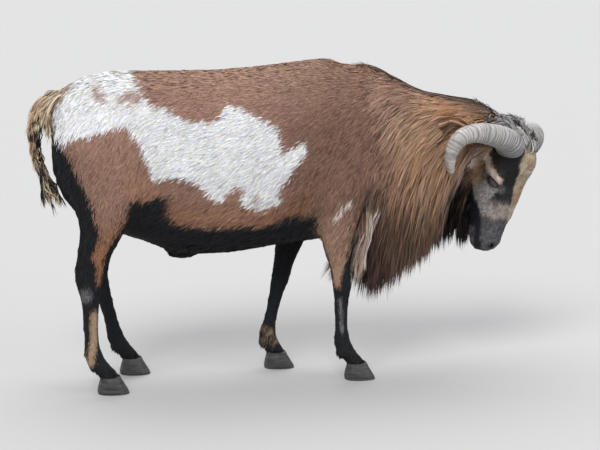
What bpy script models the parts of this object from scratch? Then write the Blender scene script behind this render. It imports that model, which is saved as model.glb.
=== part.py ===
"""A Cameroon sheep ram, life size, standing with its head lowered to lick the ground.

Metres, +Z up. The ram faces +X, and its right side faces -Y. The body is lofted whole from a few
named sections, fused, and then parted by thin cuts into the pieces that a person would name.
"""
import math

import bmesh
import bpy
import numpy as np
from mathutils import Matrix, Vector
from mathutils.bvhtree import BVHTree

GAP = 0.0003                # clearance between pieces that touch
SEED = 11
SIDES = 28                  # points round a body section
LIMB_SIDES = 20

# Driving sizes of the animal
CORONET_HEIGHT = 0.034      # where the hair ends and the hoof begins
HEAD_LENGTH = 0.261
EYE_RADIUS = 0.0135
HORN_FLATNESS = 0.80        # a horn's thickness through the head over its depth
HORN_RIDGE = 0.05           # how far a growth ridge stands out, over the thickness
HORN_SIDES = 10
HORN_STEPS = 4
HORN_SQUARENESS = 0.9
SECTION_STEPS = 3           # sections made between two named ones
CORE_STEPS = 2
OUTLINE_STEPS = 4
HAIR_ROUGHNESS = 0.85
CLEARANCE_SPARE = 1.15      # extra on the clearance where a piece is cut back to its neighbours

# The head's own frame: forehead normal, right-hand side and poll-to-muzzle line
POLL = Vector((0.492, -0.045, 0.487))
HEAD_TURN = math.radians(-40)     # to the ram's right
HEAD_TUCK = math.radians(9)       # chin drawn back past the plumb line
HEAD_ROLL = math.radians(5)       # its right side raised
HEADING = Vector((math.cos(HEAD_TURN), math.sin(HEAD_TURN), 0))
FACEWARD = HEADING * math.cos(HEAD_TUCK) - Vector((0, 0, 1)) * math.sin(HEAD_TUCK)
RIGHTWARD = Matrix.Rotation(-HEAD_ROLL, 3, FACEWARD) @ Vector((HEADING.y, -HEADING.x, 0))
MUZZLEWARD = FACEWARD.cross(RIGHTWARD)

# Trunk sections, rump to neck: x, top z, widest z, bottom z, half width, squareness
TRUNK = [
    (-0.500, 0.560, 0.500, 0.440, 0.040, 1.0),
    (-0.482, 0.596, 0.490, 0.385, 0.078, 1.0),
    (-0.440, 0.620, 0.480, 0.335, 0.102, 0.95),
    (-0.390, 0.633, 0.470, 0.315, 0.114, 0.90),
    (-0.320, 0.634, 0.455, 0.290, 0.122, 0.88),
    (-0.250, 0.633, 0.435, 0.264, 0.134, 0.88),
    (-0.150, 0.634, 0.430, 0.262, 0.146, 0.90),
    (-0.060, 0.641, 0.435, 0.273, 0.142, 0.92),
    (0.020, 0.650, 0.440, 0.280, 0.128, 0.95),
    (0.070, 0.648, 0.442, 0.285, 0.116, 1.0),
    (0.110, 0.630, 0.445, 0.298, 0.098, 1.0),
]
# Neck sections: centre, lean of the section from upright, half heights up and down, half width
NECK = [
    ((0.060, 0.000, 0.445), 2, 0.198, 0.160, 0.112),
    ((0.110, 0.000, 0.448), 8, 0.184, 0.160, 0.108),
    ((0.160, 0.001, 0.452), 14, 0.152, 0.150, 0.098),
    ((0.210, 0.003, 0.458), 16, 0.122, 0.134, 0.088),
    ((0.265, 0.007, 0.460), 14, 0.106, 0.116, 0.076),
    ((0.320, 0.013, 0.460), 10, 0.096, 0.098, 0.064),
    ((0.370, 0.020, 0.460), 4, 0.086, 0.082, 0.055),
    ((0.410, 0.024, 0.458), 0, 0.066, 0.066, 0.048),
]
# Head sections along the muzzle line: distance, front, widest, back, half width, top and jaw squareness
HEAD = [
    (-0.016, -0.056, -0.072, -0.096, 0.028, 1.0, 1.0),
    (0.004, -0.026, -0.068, -0.118, 0.046, 0.85, 1.0),
    (0.038, -0.004, -0.056, -0.138, 0.053, 0.75, 1.0),
    (0.078, 0.001, -0.048, -0.150, 0.059, 0.70, 1.15),
    (0.110, -0.006, -0.048, -0.146, 0.058, 0.75, 1.2),
    (0.140, -0.016, -0.056, -0.134, 0.048, 0.82, 1.1),
    (0.175, -0.026, -0.064, -0.117, 0.038, 0.82, 1.0),
    (0.205, -0.034, -0.069, -0.108, 0.033, 0.80, 0.95),
    (0.232, -0.038, -0.073, -0.104, 0.032, 0.80, 0.9),
    (0.250, -0.045, -0.076, -0.098, 0.028, 0.85, 0.9),
    (HEAD_LENGTH, -0.058, -0.076, -0.088, 0.016, 1.0, 1.0),
]
# Horn centre line on the right side: along, front and right of the poll, then half thickness
HORN = [
    ((0.052, -0.026, 0.016), 0.030),
    ((0.034, -0.032, 0.036), 0.0315),
    ((0.018, -0.040, 0.068), 0.0305),
    ((0.010, -0.056, 0.104), 0.0280),
    ((0.009, -0.078, 0.141), 0.0245),
    ((0.022, -0.099, 0.170), 0.0205),
    ((0.050, -0.109, 0.181), 0.0160),
    ((0.077, -0.110, 0.177), 0.0125),
    ((0.098, -0.108, 0.165), 0.0085),
]
# Leg sections, top to coronet: x, y, z, half length, half width
FORE_RIGHT = [
    (0.050, -0.070, 0.560, 0.050, 0.030),
    (0.060, -0.078, 0.480, 0.070, 0.040),
    (0.062, -0.080, 0.400, 0.066, 0.042),
    (0.062, -0.078, 0.340, 0.046, 0.034),
    (0.062, -0.074, 0.285, 0.034, 0.028),
    (0.067, -0.071, 0.235, 0.0225, 0.021),
    (0.072, -0.070, 0.195, 0.0215, 0.021),
    (0.071, -0.069, 0.170, 0.0175, 0.0165),
    (0.071, -0.069, 0.110, 0.0155, 0.014),
    (0.074, -0.069, 0.075, 0.020, 0.018),
    (0.084, -0.069, 0.055, 0.022, 0.019),
    (0.100, -0.069, 0.036, 0.021, 0.020),
    (0.105, -0.069, 0.026, 0.022, 0.020),
]
FORE_LEFT = [
    (0.050, 0.070, 0.560, 0.050, 0.030),
    (0.045, 0.078, 0.480, 0.070, 0.040),
    (0.034, 0.078, 0.400, 0.064, 0.042),
    (0.016, 0.074, 0.340, 0.046, 0.034),
    (-0.002, 0.068, 0.280, 0.034, 0.028),
    (-0.020, 0.063, 0.225, 0.0235, 0.021),
    (-0.030, 0.061, 0.185, 0.0215, 0.021),
    (-0.037, 0.060, 0.160, 0.0175, 0.0165),
    (-0.050, 0.057, 0.110, 0.0155, 0.014),
    (-0.058, 0.056, 0.075, 0.020, 0.018),
    (-0.053, 0.056, 0.055, 0.022, 0.019),
    (-0.042, 0.056, 0.036, 0.021, 0.020),
    (-0.038, 0.056, 0.026, 0.022, 0.020),
]
HIND_RIGHT = [
    (-0.400, -0.060, 0.580, 0.060, 0.030),
    (-0.415, -0.074, 0.520, 0.085, 0.044),
    (-0.410, -0.080, 0.450, 0.088, 0.046),
    (-0.405, -0.082, 0.390, 0.070, 0.042),
    (-0.408, -0.082, 0.335, 0.050, 0.034),
    (-0.425, -0.080, 0.285, 0.037, 0.024),
    (-0.435, -0.078, 0.245, 0.0335, 0.020),
    (-0.438, -0.077, 0.215, 0.0265, 0.0195),
    (-0.436, -0.076, 0.180, 0.0195, 0.0165),
    (-0.436, -0.076, 0.115, 0.0165, 0.0145),
    (-0.432, -0.076, 0.076, 0.021, 0.018),
    (-0.420, -0.076, 0.056, 0.023, 0.019),
    (-0.404, -0.076, 0.036, 0.022, 0.020),
    (-0.399, -0.076, 0.026, 0.022, 0.020),
]
HIND_LEFT = [
    (-0.395, 0.060, 0.580, 0.060, 0.030),
    (-0.405, 0.074, 0.520, 0.085, 0.044),
    (-0.395, 0.080, 0.450, 0.088, 0.046),
    (-0.382, 0.080, 0.390, 0.070, 0.042),
    (-0.385, 0.078, 0.335, 0.050, 0.034),
    (-0.405, 0.074, 0.285, 0.037, 0.024),
    (-0.412, 0.071, 0.245, 0.0335, 0.020),
    (-0.410, 0.070, 0.215, 0.0265, 0.0195),
    (-0.400, 0.069, 0.180, 0.0195, 0.0165),
    (-0.382, 0.068, 0.115, 0.0165, 0.0145),
    (-0.372, 0.068, 0.076, 0.021, 0.018),
    (-0.360, 0.068, 0.056, 0.023, 0.019),
    (-0.344, 0.068, 0.036, 0.022, 0.020),
    (-0.339, 0.068, 0.026, 0.022, 0.020),
]

WORLD_AXES = (Vector((1, 0, 0)), Vector((0, 1, 0)), Vector((0, 0, 1)))
LEGS = {"foreleg_right": FORE_RIGHT, "foreleg_left": FORE_LEFT,
        "hindleg_right": HIND_RIGHT, "hindleg_left": HIND_LEFT}
# Each leg's zone: side, roof and floor ranges in x, roof's inner and outer edge in y and z, knee height
LEG_ZONES = {
    "foreleg_right": (-1, (-0.030, 0.1285), (0.030, 0.150), (0.030, 0.268), (0.160, 0.430), 0.196),
    "foreleg_left": (1, (-0.055, 0.112), (-0.120, 0.060), (0.030, 0.268), (0.160, 0.430), 0.186),
    "hindleg_right": (-1, (-0.560, -0.312), (-0.500, -0.340), (0.030, 0.300), (0.160, 0.500), 0.222),
    "hindleg_left": (1, (-0.560, -0.306), (-0.500, -0.280), (0.030, 0.300), (0.160, 0.500), 0.218),
}
# Claw sections from the sole up: height, heel, toe, width
CLAW = [
    (0.0, -0.026, 0.036, 0.0205),
    (0.006, -0.027, 0.034, 0.0220),
    (0.016, -0.025, 0.028, 0.0222),
    (0.026, -0.022, 0.022, 0.0208),
    (CORONET_HEIGHT - GAP, -0.0200, 0.0185, 0.0190),
]
CLAW_ROUNDNESS = 0.8
CLAW_POINTS = 9
CLEFT_SPREAD = 0.4          # half length of the flat inner face, over the claw's own
CLEFT_WIDTH = 0.003
HOOF_SPLAY = math.radians(4)
DEWCLAW = (0.0068, 0.011, 0.0096)       # radius, half distance between the pair, half length
DEWCLAW_HEIGHT = 0.062
DEWCLAW_BACK = 0.80         # how far behind the leg's middle, over its half length
DEWCLAW_POINTS_TO = (-0.75, 0.2, -0.62)

# Sheath and scrotum: centre and half sizes
UNDERSIDE = [
    ((-0.240, 0.0, 0.266), (0.036, 0.017, 0.017)),
    ((-0.392, 0.0, 0.322), (0.026, 0.022, 0.042)),
]
# Muscle and bone under the skin: place on the left side (both sides get it), radius, height
BODY_FORMS = [
    (-0.300, 0.090, 0.598, 0.050, 0.006),
    (-0.425, 0.110, 0.480, 0.090, 0.008),
    (-0.265, 0.130, 0.510, 0.070, -0.008),
    (0.100, 0.100, 0.420, 0.070, 0.008),
    (0.030, 0.120, 0.520, 0.080, 0.005),
    (-0.060, 0.135, 0.500, 0.060, -0.004),
    (-0.340, 0.110, 0.390, 0.050, 0.006),
]
HEAD_FORMS = [
    (0.095, -0.040, 0.054, 0.022, 0.006),
    (0.110, -0.057, 0.060, 0.014, -0.005),
    (0.140, -0.046, 0.044, 0.016, -0.004),
    (0.128, -0.074, 0.052, 0.018, 0.003),
    (0.152, -0.080, 0.044, 0.014, 0.003),
    (0.085, -0.115, 0.048, 0.036, 0.006),
    (0.060, -0.002, 0.000, 0.030, 0.003),
    (0.180, -0.026, 0.016, 0.020, 0.002),
    (0.240, -0.048, 0.020, 0.012, 0.003),
    (0.258, -0.100, 0.000, 0.018, -0.005),
    (0.226, -0.108, 0.000, 0.018, 0.003),
]
EYE = (0.109, -0.057, 0.0475)
LID_THICKNESS = 0.0025
LID_OPENING_HALF = 0.0125
LID_OPENING_UP = 0.0050
LID_OPENING_DOWN = 0.0042
LID_FACES = (0.94, 0.30, 0.12)           # sideways, forwards and down the muzzle
LID_CORNER = (0.50, 0.85)                # down the muzzle and forwards
LID_POINTS = 12
LID_REACH = 0.05
MOUTH_LINE = [(0.188, -0.086), (0.206, -0.090), (0.226, -0.090), (0.246, -0.088), (0.280, -0.085)]
MOUTH_SIDES = 0.08
MOUTH_WIDTH = 0.0018
MOUTH_DEPTH = 0.005
NOSTRIL = (0.243, -0.048, 0.0165)
NOSTRIL_SIZES = (0.0085, 0.0034, 0.0075)
NOSTRIL_SLANT = (0.80, 0.25, -0.55)      # sideways, forwards and down the muzzle
NOSTRIL_INWARD = (0.25, 0.60, 0.75)
EAR = [(0.056, -0.085, 0.042), (0.030, -0.114, 0.105), (-0.003, -0.138, 0.153)]
EAR_HALF_WIDTH = 0.024
EAR_THICKNESS = 0.003
EAR_ROWS = 8
EAR_COLUMNS = 6
EAR_ROOT = 0.012
EAR_OPENS = (0.45, 0.55, 0.70)           # sideways, forwards and down the muzzle
EAR_CUP_ROOT = math.radians(115)
EAR_CUP_TIP = math.radians(45)
EAR_START = 0.20                         # where the leaf's width starts on its sine
EAR_FULLNESS = 0.75
EAR_RIM = 0.0012
EAR_CENTRE = 0.55                        # the cup's depth is measured from here
EAR_SHALLOWNESS = 0.8
EAR_LEAST_SINE = 0.35
# Tail: centre, half width, half thickness, from its root in the rump to its tip
TAIL = [
    ((-0.468, 0.0, 0.590), 0.020, 0.016),
    ((-0.500, 0.0, 0.582), 0.018, 0.014),
    ((-0.522, 0.0, 0.552), 0.017, 0.012),
    ((-0.530, 0.0, 0.505), 0.016, 0.011),
    ((-0.523, 0.0, 0.452), 0.015, 0.010),
    ((-0.506, 0.0, 0.408), 0.012, 0.008),
    ((-0.488, 0.0, 0.372), 0.007, 0.005),
    ((-0.477, 0.0, 0.350), 0.002, 0.002),
]
# The neck's zone: where its joint with the trunk crosses the top and the bottom, and its floor
NECK_JOINT_TOP = (0.145, 0.720)
NECK_JOINT_BOTTOM = (0.1290, 0.205)
NECK_ZONE_FRONT = 0.9
NECK_ZONE_SIDE = 0.3
# The head's zone, along and front of the poll: its joint with the neck leans from nape to throat
HEAD_JOINT_TOP = (-0.12, -0.0615)
HEAD_JOINT_BOTTOM = (0.31, -0.227)
HEAD_ZONE_FRONT = 0.10
HEAD_ZONE_SIDE = 0.17
HEAD_JOINT_MARGIN = 0.012
# The mane's outline: distance along x, height of the tips under the neck, lower half width
MANE = [
    (0.122, 0.218, 0.070),
    (0.150, 0.178, 0.080),
    (0.200, 0.146, 0.082),
    (0.240, 0.152, 0.080),
    (0.285, 0.206, 0.074),
    (0.330, 0.240, 0.064),
    (0.375, 0.258, 0.056),
    (0.408, 0.275, 0.048),
]
CORE_SHARE = 0.42           # how far the neck's core reaches towards the tips of the mane
CORE_SIDES = 20
CORE_START = 0.095          # where the core begins to stand out from the flesh
CORE_RISE = 0.05            # and over what length it does so
CORE_KEEL = 1.12            # how narrow its underside is
CREST_COVER = 0.010         # depth of the core over the neck's own flesh at the crest
# Locks of the mane, in tiers from the head back to the shoulder
MANE_TIERS = 5
CREST_TIERS = (2, 4)        # tiers that also have locks beside the crest
MANE_ROUND = 4              # locks on each side of a tier, besides the one under the throat
MANE_AXIS = (0.010, 0.440)  # side and height of the line that a tier stands round
MANE_FAN = 166.0            # degrees from the throat to the locks beside the crest
MANE_STAGGER = 9.0          # degrees by which a tier is turned against the next
MANE_SHUFFLE = 6.0          # degrees of chance in a lock's place round its tier
MANE_START = 0.398
MANE_RUN_CREST = 0.150      # length over which the tiers are spread at the crest
MANE_RUN_THROAT = 0.240
MANE_START_SHUFFLE = 0.006
THROAT_SHARE = 0.88         # from how far down its tier a lock hangs under the throat
THROAT_REACH = 0.98         # how near its tip comes to the mane's outline
THROAT_LEAST = 0.050
CREST_LENGTH = 0.100
SIDE_LENGTH = 0.150
CREST_LIE = Vector((-0.90, 0, -0.30))
THROAT_LIE = Vector((-0.10, 0, -1.00))
CREST_SAG = -0.30           # how far back the tips still point at the crest
# Every lock's own form
LOCK_SEGMENTS = 4
LOCK_WIDTH = 0.064
LOCK_THICKNESS = 0.011
LOCK_LIFT = 0.009           # how high a lock's tip rides over the surface under it
LOCK_ROOT_LIFT = 0.4        # that height at its root, over the same at its tip
LOCK_SINK = 0.012           # how deep a lock's root sits in the core
LOCK_RISE = 0.50            # how steeply it leaves the surface
LOCK_FALL = 0.85            # and how much of that it has lost at its tip
LOCK_ROOT_WIDTH = 0.62
LOCK_SWELL = 0.60
LOCK_TAPER = 1.20
LOCK_THINNING = 0.80
LOCK_EDGE = 0.0006
# Locks of the tail's brush
TAIL_LOCKS = 6
TAIL_LOCK_SIZE = (0.075, 0.024, 0.009)
TAIL_LOCK_LEAST = 0.030
TAIL_LOCK_FIRST = 0.35      # share of the dock's length where the first lock grows
TAIL_LOCK_SPREAD = 0.50
TAIL_LOCK_TURN = 2.4
TAIL_LOCK_SEAT = 0.7
TAIL_TIP_HEIGHT = 0.346
TAIL_LIE = Vector((0.25, 0, -1.0))
TAIL_STEPS = 6
# Locks of the head: along, front and right of the poll
BEARD = [
    (0.120, -0.146, 0.022),
    (0.120, -0.146, -0.022),
    (0.145, -0.134, 0.0),
    (0.100, -0.150, 0.0),
    (0.168, -0.120, 0.014),
    (0.168, -0.120, -0.014),
]
BEARD_LENGTH = 0.068
BEARD_LIE = MUZZLEWARD * 0.8 - FACEWARD * 0.6
BEARD_SAG = Vector((0.05, 0, -1))
FORELOCK = [
    (0.000, -0.034, 0.0),
    (-0.004, -0.050, 0.018),
    (-0.004, -0.050, -0.018),
    (-0.014, -0.070, 0.0),
]
FORELOCK_LENGTH = 0.045
FORELOCK_LIE = MUZZLEWARD * 0.7 + FACEWARD * 0.5
HEAD_LOCK_WIDTH = 0.030
HEAD_LOCK_THICKNESS = 0.009
BODY_VOXEL = 0.0058
HEAD_VOXEL = 0.0026
BODY_TRIANGLES = 3600
HEAD_TRIANGLES = 1250
BODY_BLEND = 7              # rounds of smoothing over the fused joins
HEAD_BLEND = 5
BROWN = (0.23, 0.115, 0.055)
COLOURS = {
    "torso": BROWN,
    "neck": (0.30, 0.17, 0.08),
    "head": (0.10, 0.085, 0.07),
    "tail": (0.45, 0.33, 0.20),
    "horn": (0.38, 0.35, 0.31),
    "ear": (0.16, 0.10, 0.07),
    "eye": (0.02, 0.015, 0.01),
    "hoof": (0.06, 0.055, 0.05),
    "upper": BROWN,
    "lower": (0.05, 0.045, 0.04),
}


def clear_scene():
    """Removes what the opening file holds."""
    for obj in list(bpy.data.objects):
        bpy.data.objects.remove(obj, do_unlink=True)


def new_collection(name):
    """A collection of its own for one kind of object."""
    made = bpy.data.collections.new(name)
    bpy.context.scene.collection.children.link(made)
    return made


def new_object(name, mesh, collection):
    """An object that shows a mesh."""
    obj = bpy.data.objects.new(name, mesh)
    collection.objects.link(obj)
    return obj


def mesh_object(name, bm, collection):
    """Makes an object of a bmesh, with its faces pointing outwards."""
    bm.normal_update()
    bmesh.ops.recalc_face_normals(bm, faces=bm.faces[:])
    mesh = bpy.data.meshes.new(name)
    bm.to_mesh(mesh)
    bm.free()
    return new_object(name, mesh, collection)


def bake(obj):
    """Turns an object's modifiers into its mesh."""
    bpy.context.view_layer.update()
    graph = bpy.context.evaluated_depsgraph_get()
    mesh = bpy.data.meshes.new_from_object(obj.evaluated_get(graph))
    old = obj.data
    obj.modifiers.clear()
    obj.data = mesh
    bpy.data.meshes.remove(old)
    return obj


def discard(objects):
    """Removes objects with their meshes."""
    for obj in objects:
        mesh = obj.data
        bpy.data.objects.remove(obj, do_unlink=True)
        bpy.data.meshes.remove(mesh)


def flat_row(row):
    """A section's numbers in one line, its points opened out."""
    flat = []
    for value in row:
        flat.extend(value if isinstance(value, (tuple, list, Vector)) else [value])
    return flat


def eased_rows(rows, steps):
    """Sections between the named ones, on a smooth curve through them."""
    table = np.array([flat_row(row) for row in rows], float)
    padded = np.vstack([2 * table[0] - table[1], table, 2 * table[-1] - table[-2]])
    eased = []
    for k in range(len(table) - 1):
        before, start, end, after = padded[k:k + 4]
        for step in range(steps):
            t = step / steps
            eased.append(0.5 * (2 * start + (end - before) * t
                                + (2 * before - 5 * start + 4 * end - after) * t ** 2
                                + (3 * start - before - 3 * end + after) * t ** 3))
    eased.append(table[-1])
    return eased


def ring(centre, across, up, half_width, half_up, half_down, sides, up_power=1.0, down_power=1.0):
    """One closed section: an oval whose upper and lower halves have their own height and squareness."""
    points = []
    for k in range(sides):
        angle = 2 * math.pi * k / sides
        side, rise = math.cos(angle), math.sin(angle)
        height, power = (half_up, up_power) if rise >= 0 else (half_down, down_power)
        points.append(centre
                      + across * half_width * math.copysign(abs(side) ** power, side)
                      + up * height * math.copysign(abs(rise) ** power, rise))
    return points


def loft(name, rings, collection):
    """A closed solid through rings of equal count, one after another."""
    bm = bmesh.new()
    loops = [[bm.verts.new(point) for point in points] for points in rings]
    for lower, upper in zip(loops, loops[1:]):
        for k in range(len(lower)):
            after = (k + 1) % len(lower)
            bm.faces.new((lower[k], lower[after], upper[after], upper[k]))
    bm.faces.new(loops[0])
    bm.faces.new(loops[-1])
    bmesh.ops.triangulate(bm, faces=bm.faces[:])
    return mesh_object(name, bm, collection)


def trunk_loft(collection):
    """The trunk, from the rump to the base of the neck."""
    rings = []
    for x, top, widest, bottom, half_width, power in eased_rows(TRUNK, SECTION_STEPS):
        rings.append(ring(Vector((x, 0, widest)), Vector((0, 1, 0)), Vector((0, 0, 1)),
                          half_width, top - widest, widest - bottom, SIDES, power, power))
    return loft("trunk", rings, collection)


def neck_rings():
    """Sections of the bare neck."""
    rings = []
    for x, y, z, lean, up, down, half_width in eased_rows(NECK, SECTION_STEPS):
        tilt = math.radians(lean)
        rise = Vector((math.sin(tilt), 0, math.cos(tilt)))
        rings.append(ring(Vector((x, y, z)), Vector((0, 1, 0)), rise,
                          half_width, up, down, SIDES, 1.0, 1.0))
    return rings


def head_point(along, front, right):
    """A place in the head's own frame, as a point in the room."""
    return POLL + MUZZLEWARD * along + FACEWARD * front + RIGHTWARD * right


def head_rings():
    """Sections of the head along the line from poll to muzzle."""
    rings = []
    for along, front, widest, back, half_width, brow, jaw in eased_rows(HEAD, SECTION_STEPS):
        rings.append(ring(head_point(along, widest, 0), RIGHTWARD, FACEWARD,
                          half_width, front - widest, widest - back, SIDES, brow, jaw))
    return rings


def leg_loft(name, rows, collection):
    """One leg, from inside the trunk down to the coronet."""
    rings = []
    for x, y, z, half_length, half_width in eased_rows(rows, SECTION_STEPS):
        rings.append(ring(Vector((x, y, z)), Vector((0, 1, 0)), Vector((1, 0, 0)),
                          half_width, half_length, half_length, LIMB_SIDES, 1.0, 1.0))
    return loft(name, rings, collection)


def fuse(name, pieces, collection, solver="MANIFOLD"):
    """One Boolean union of closed pieces, which are then removed."""
    operands = new_collection(name + "_operands")
    for piece in pieces[1:]:
        for home in list(piece.users_collection):
            home.objects.unlink(piece)
        operands.objects.link(piece)
    joined = new_object(name, pieces[0].data.copy(), collection)
    union = joined.modifiers.new("union", "BOOLEAN")
    union.operation = "UNION"
    union.operand_type = "COLLECTION"
    union.collection = operands
    union.solver = solver
    bake(joined)
    discard(pieces)
    bpy.data.collections.remove(operands)
    return joined


def refine(obj, voxel, rounds):
    """Even out a fused solid: new even faces, then a soft blend of its joins."""
    remesh = obj.modifiers.new("even", "REMESH")
    remesh.mode = "VOXEL"
    remesh.voxel_size = voxel
    blend = obj.modifiers.new("blend", "SMOOTH")
    blend.factor = 0.5
    blend.iterations = rounds
    bake(obj)


def push(obj, spots):
    """Raise (or press in) round spots of the surface: centre, radius, height."""
    mesh = obj.data
    count = len(mesh.vertices)
    places = np.empty(count * 3)
    mesh.vertices.foreach_get("co", places)
    places = places.reshape(-1, 3)
    normals = np.empty(count * 3)
    mesh.vertices.foreach_get("normal", normals)
    normals = normals.reshape(-1, 3)
    for centre, radius, height in spots:
        near = np.clip(1 - np.linalg.norm(places - np.array(centre), axis=1) / radius, 0, 1)
        places += normals * (height * near * near * (3 - 2 * near))[:, None]
    mesh.vertices.foreach_set("co", places.ravel())
    mesh.update()


def thin_out(obj, triangles):
    """Fewer faces, kept where the form turns."""
    obj.data.calc_loop_triangles()
    reduce = obj.modifiers.new("fewer", "DECIMATE")
    reduce.ratio = min(1.0, triangles / len(obj.data.loop_triangles))
    bake(obj)


def boolean(obj, cutter, operation, solver="MANIFOLD"):
    """Cut or join in place; the other object is left as it was."""
    modifier = obj.modifiers.new("cut", "BOOLEAN")
    modifier.operation = operation
    modifier.object = cutter
    modifier.solver = solver
    bake(obj)
    bm = bmesh.new()
    bm.from_mesh(obj.data)
    bmesh.ops.triangulate(bm, faces=bm.faces[:])
    bm.to_mesh(obj.data)
    bm.free()
    return obj


def grown(obj, distance, collection):
    """A copy whose surface stands further out (or in) by a distance."""
    copy = new_object(obj.name + "_grown", obj.data.copy(), collection)
    bm = bmesh.new()
    bm.from_mesh(copy.data)
    bm.normal_update()
    moves = [(vert, vert.normal * distance * min(vert.calc_shell_factor(), 1.6)) for vert in bm.verts]
    for vert, move in moves:
        vert.co += move
    bm.to_mesh(copy.data)
    bm.free()
    return copy


def keep_largest(obj):
    """Drop every loose scrap and sealed hollow, and keep the outer body."""
    bm = bmesh.new()
    bm.from_mesh(obj.data)
    waiting = set(bm.faces)
    islands = []
    while waiting:
        island = {waiting.pop()}
        edge_of_island = list(island)
        while edge_of_island:
            face = edge_of_island.pop()
            for edge in face.edges:
                for other in edge.link_faces if len(edge.link_faces) == 2 else ():
                    if other in waiting:
                        waiting.discard(other)
                        island.add(other)
                        edge_of_island.append(other)
        islands.append(island)
    islands.sort(key=lambda faces: sum(face.calc_area() for face in faces))
    scraps = [face for island in islands[:-1] for face in island]
    bmesh.ops.delete(bm, geom=scraps, context="FACES")
    bmesh.ops.triangulate(bm, faces=bm.faces[:])
    bm.to_mesh(obj.data)
    bm.free()
    return obj


def zone(name, corners, collection):
    """A convex cutter round named corners."""
    bm = bmesh.new()
    for corner in corners:
        bm.verts.new(corner)
    bmesh.ops.convex_hull(bm, input=bm.verts[:])
    block = mesh_object(name, bm, collection)
    block.hide_render = True
    block.display_type = "WIRE"
    return block


def part_off(source, block, name, collection, cutters):
    """Take what lies in a zone as its own node, and leave the rest a clearance away."""
    piece = new_object(name, source.data.copy(), collection)
    boolean(piece, block, "INTERSECT")
    keep_largest(piece)
    wider = grown(block, GAP, cutters)
    boolean(source, wider, "DIFFERENCE")
    discard([wider])
    return piece


def box_corners(x_low, x_high, y_low, y_high, z_low, z_high):
    """The eight corners of an upright box."""
    return [(x, y, z) for x in (x_low, x_high) for y in (y_low, y_high) for z in (z_low, z_high)]


def limb_corners(side, top, bottom, inner, outer):
    """A leg's zone: a slanted roof that runs down from the flank to the belly line."""
    inner_y, inner_z = inner
    outer_y, outer_z = outer
    corners = []
    for x in top:
        corners += [(x, side * inner_y, inner_z), (x, side * outer_y, outer_z)]
    for x in bottom:
        corners += [(x, side * inner_y, -0.02), (x, side * outer_y, -0.02)]
    return corners


def carried_frames(centres, first_up):
    """Section axes carried along a line without a twist."""
    frames = []
    up = first_up
    for k in range(len(centres)):
        ahead = (centres[min(k + 1, len(centres) - 1)] - centres[max(k - 1, 0)]).normalized()
        up = (up - ahead * up.dot(ahead)).normalized()
        frames.append((ahead.cross(up), up))
    return frames


def horn_rings(side, ridges=True):
    """Horn sections on one side (1 right, -1 left), thicker at each growth ridge."""
    rows = eased_rows(HORN, HORN_STEPS)
    centres = [head_point(along, front, side * right) for along, front, right, _ in rows]
    rings = []
    for k, (across, up) in enumerate(carried_frames(centres, FACEWARD)):
        ridge = HORN_RIDGE * (1 - k / len(rows)) if ridges and k % 2 else 0.0
        half = rows[k][3] * (1 + ridge)
        rings.append(ring(centres[k], across, up, half * HORN_FLATNESS, half, half, HORN_SIDES,
                          HORN_SQUARENESS, HORN_SQUARENESS))
    return rings


def tube(name, rows, first_up, sides, collection):
    """A closed tube through named centres, each with its half width and half thickness."""
    centres = [Vector(row[0]) for row in rows]
    rings = []
    for row, centre, (across, up) in zip(rows, centres, carried_frames(centres, first_up)):
        rings.append(ring(centre, across, up, row[1], row[2], row[2], sides))
    return loft(name, rings, collection)


def ball(name, centre, axes, sizes, collection, segments=16, rings=10):
    """An egg-shaped solid with its own axes and half sizes."""
    bm = bmesh.new()
    bmesh.ops.create_uvsphere(bm, u_segments=segments, v_segments=rings, radius=1.0)
    for vert in bm.verts:
        place = Vector(centre)
        for axis, size, value in zip(axes, sizes, vert.co):
            place += axis * size * value
        vert.co = place
    return mesh_object(name, bm, collection)


def body_solid(collection):
    """Trunk, neck and legs as one flesh."""
    pieces = [trunk_loft(collection), loft("neck_flesh", neck_rings(), collection)]
    for name, rows in LEGS.items():
        pieces.append(leg_loft(name + "_flesh", rows, collection))
    for centre, sizes in UNDERSIDE:
        pieces.append(ball("underside_form", centre, WORLD_AXES, sizes, collection))
    flesh = fuse("body_flesh", pieces, collection)
    refine(flesh, BODY_VOXEL, BODY_BLEND)
    forms = []
    for x, y, z, radius, height in BODY_FORMS:
        forms += [(Vector((x, y, z)), radius, height), (Vector((x, -y, z)), radius, height)]
    push(flesh, forms)
    thin_out(flesh, BODY_TRIANGLES)
    return flesh


def head_solid(collection, cutters):
    """The head with its brow, cheek, muzzle and chin formed, down to its joint with the neck."""
    pieces = [loft("head_flesh", head_rings(), collection), loft("nape", neck_rings(), collection)]
    flesh = fuse("head", pieces, collection)
    rough = zone("head_rough", head_zone_corners(HEAD_JOINT_MARGIN), cutters)
    boolean(flesh, rough, "INTERSECT")
    refine(flesh, HEAD_VOXEL, HEAD_BLEND)
    forms = []
    for along, front, right, radius, height in HEAD_FORMS:
        forms += [(head_point(along, front, side * right), radius, height) for side in (1, -1)]
    push(flesh, forms)
    thin_out(flesh, HEAD_TRIANGLES)
    return flesh


def head_zone_corners(margin=0.0):
    """The head's zone: in front of a plane that leans from the nape back to the throat."""
    top, nape = HEAD_JOINT_TOP
    bottom, throat = HEAD_JOINT_BOTTOM
    corners = []
    for right in (-HEAD_ZONE_SIDE, HEAD_ZONE_SIDE):
        corners.append(head_point(top, nape - margin, right))
        corners.append(head_point(top, HEAD_ZONE_FRONT, right))
        corners.append(head_point(bottom, HEAD_ZONE_FRONT, right))
        corners.append(head_point(bottom, throat - margin, right))
    return corners


def head_direction(sideways, forwards, down, side):
    """A direction in the head's own frame, mirrored for the left side."""
    return (RIGHTWARD * side * sideways + FACEWARD * forwards + MUZZLEWARD * down).normalized()


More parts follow.
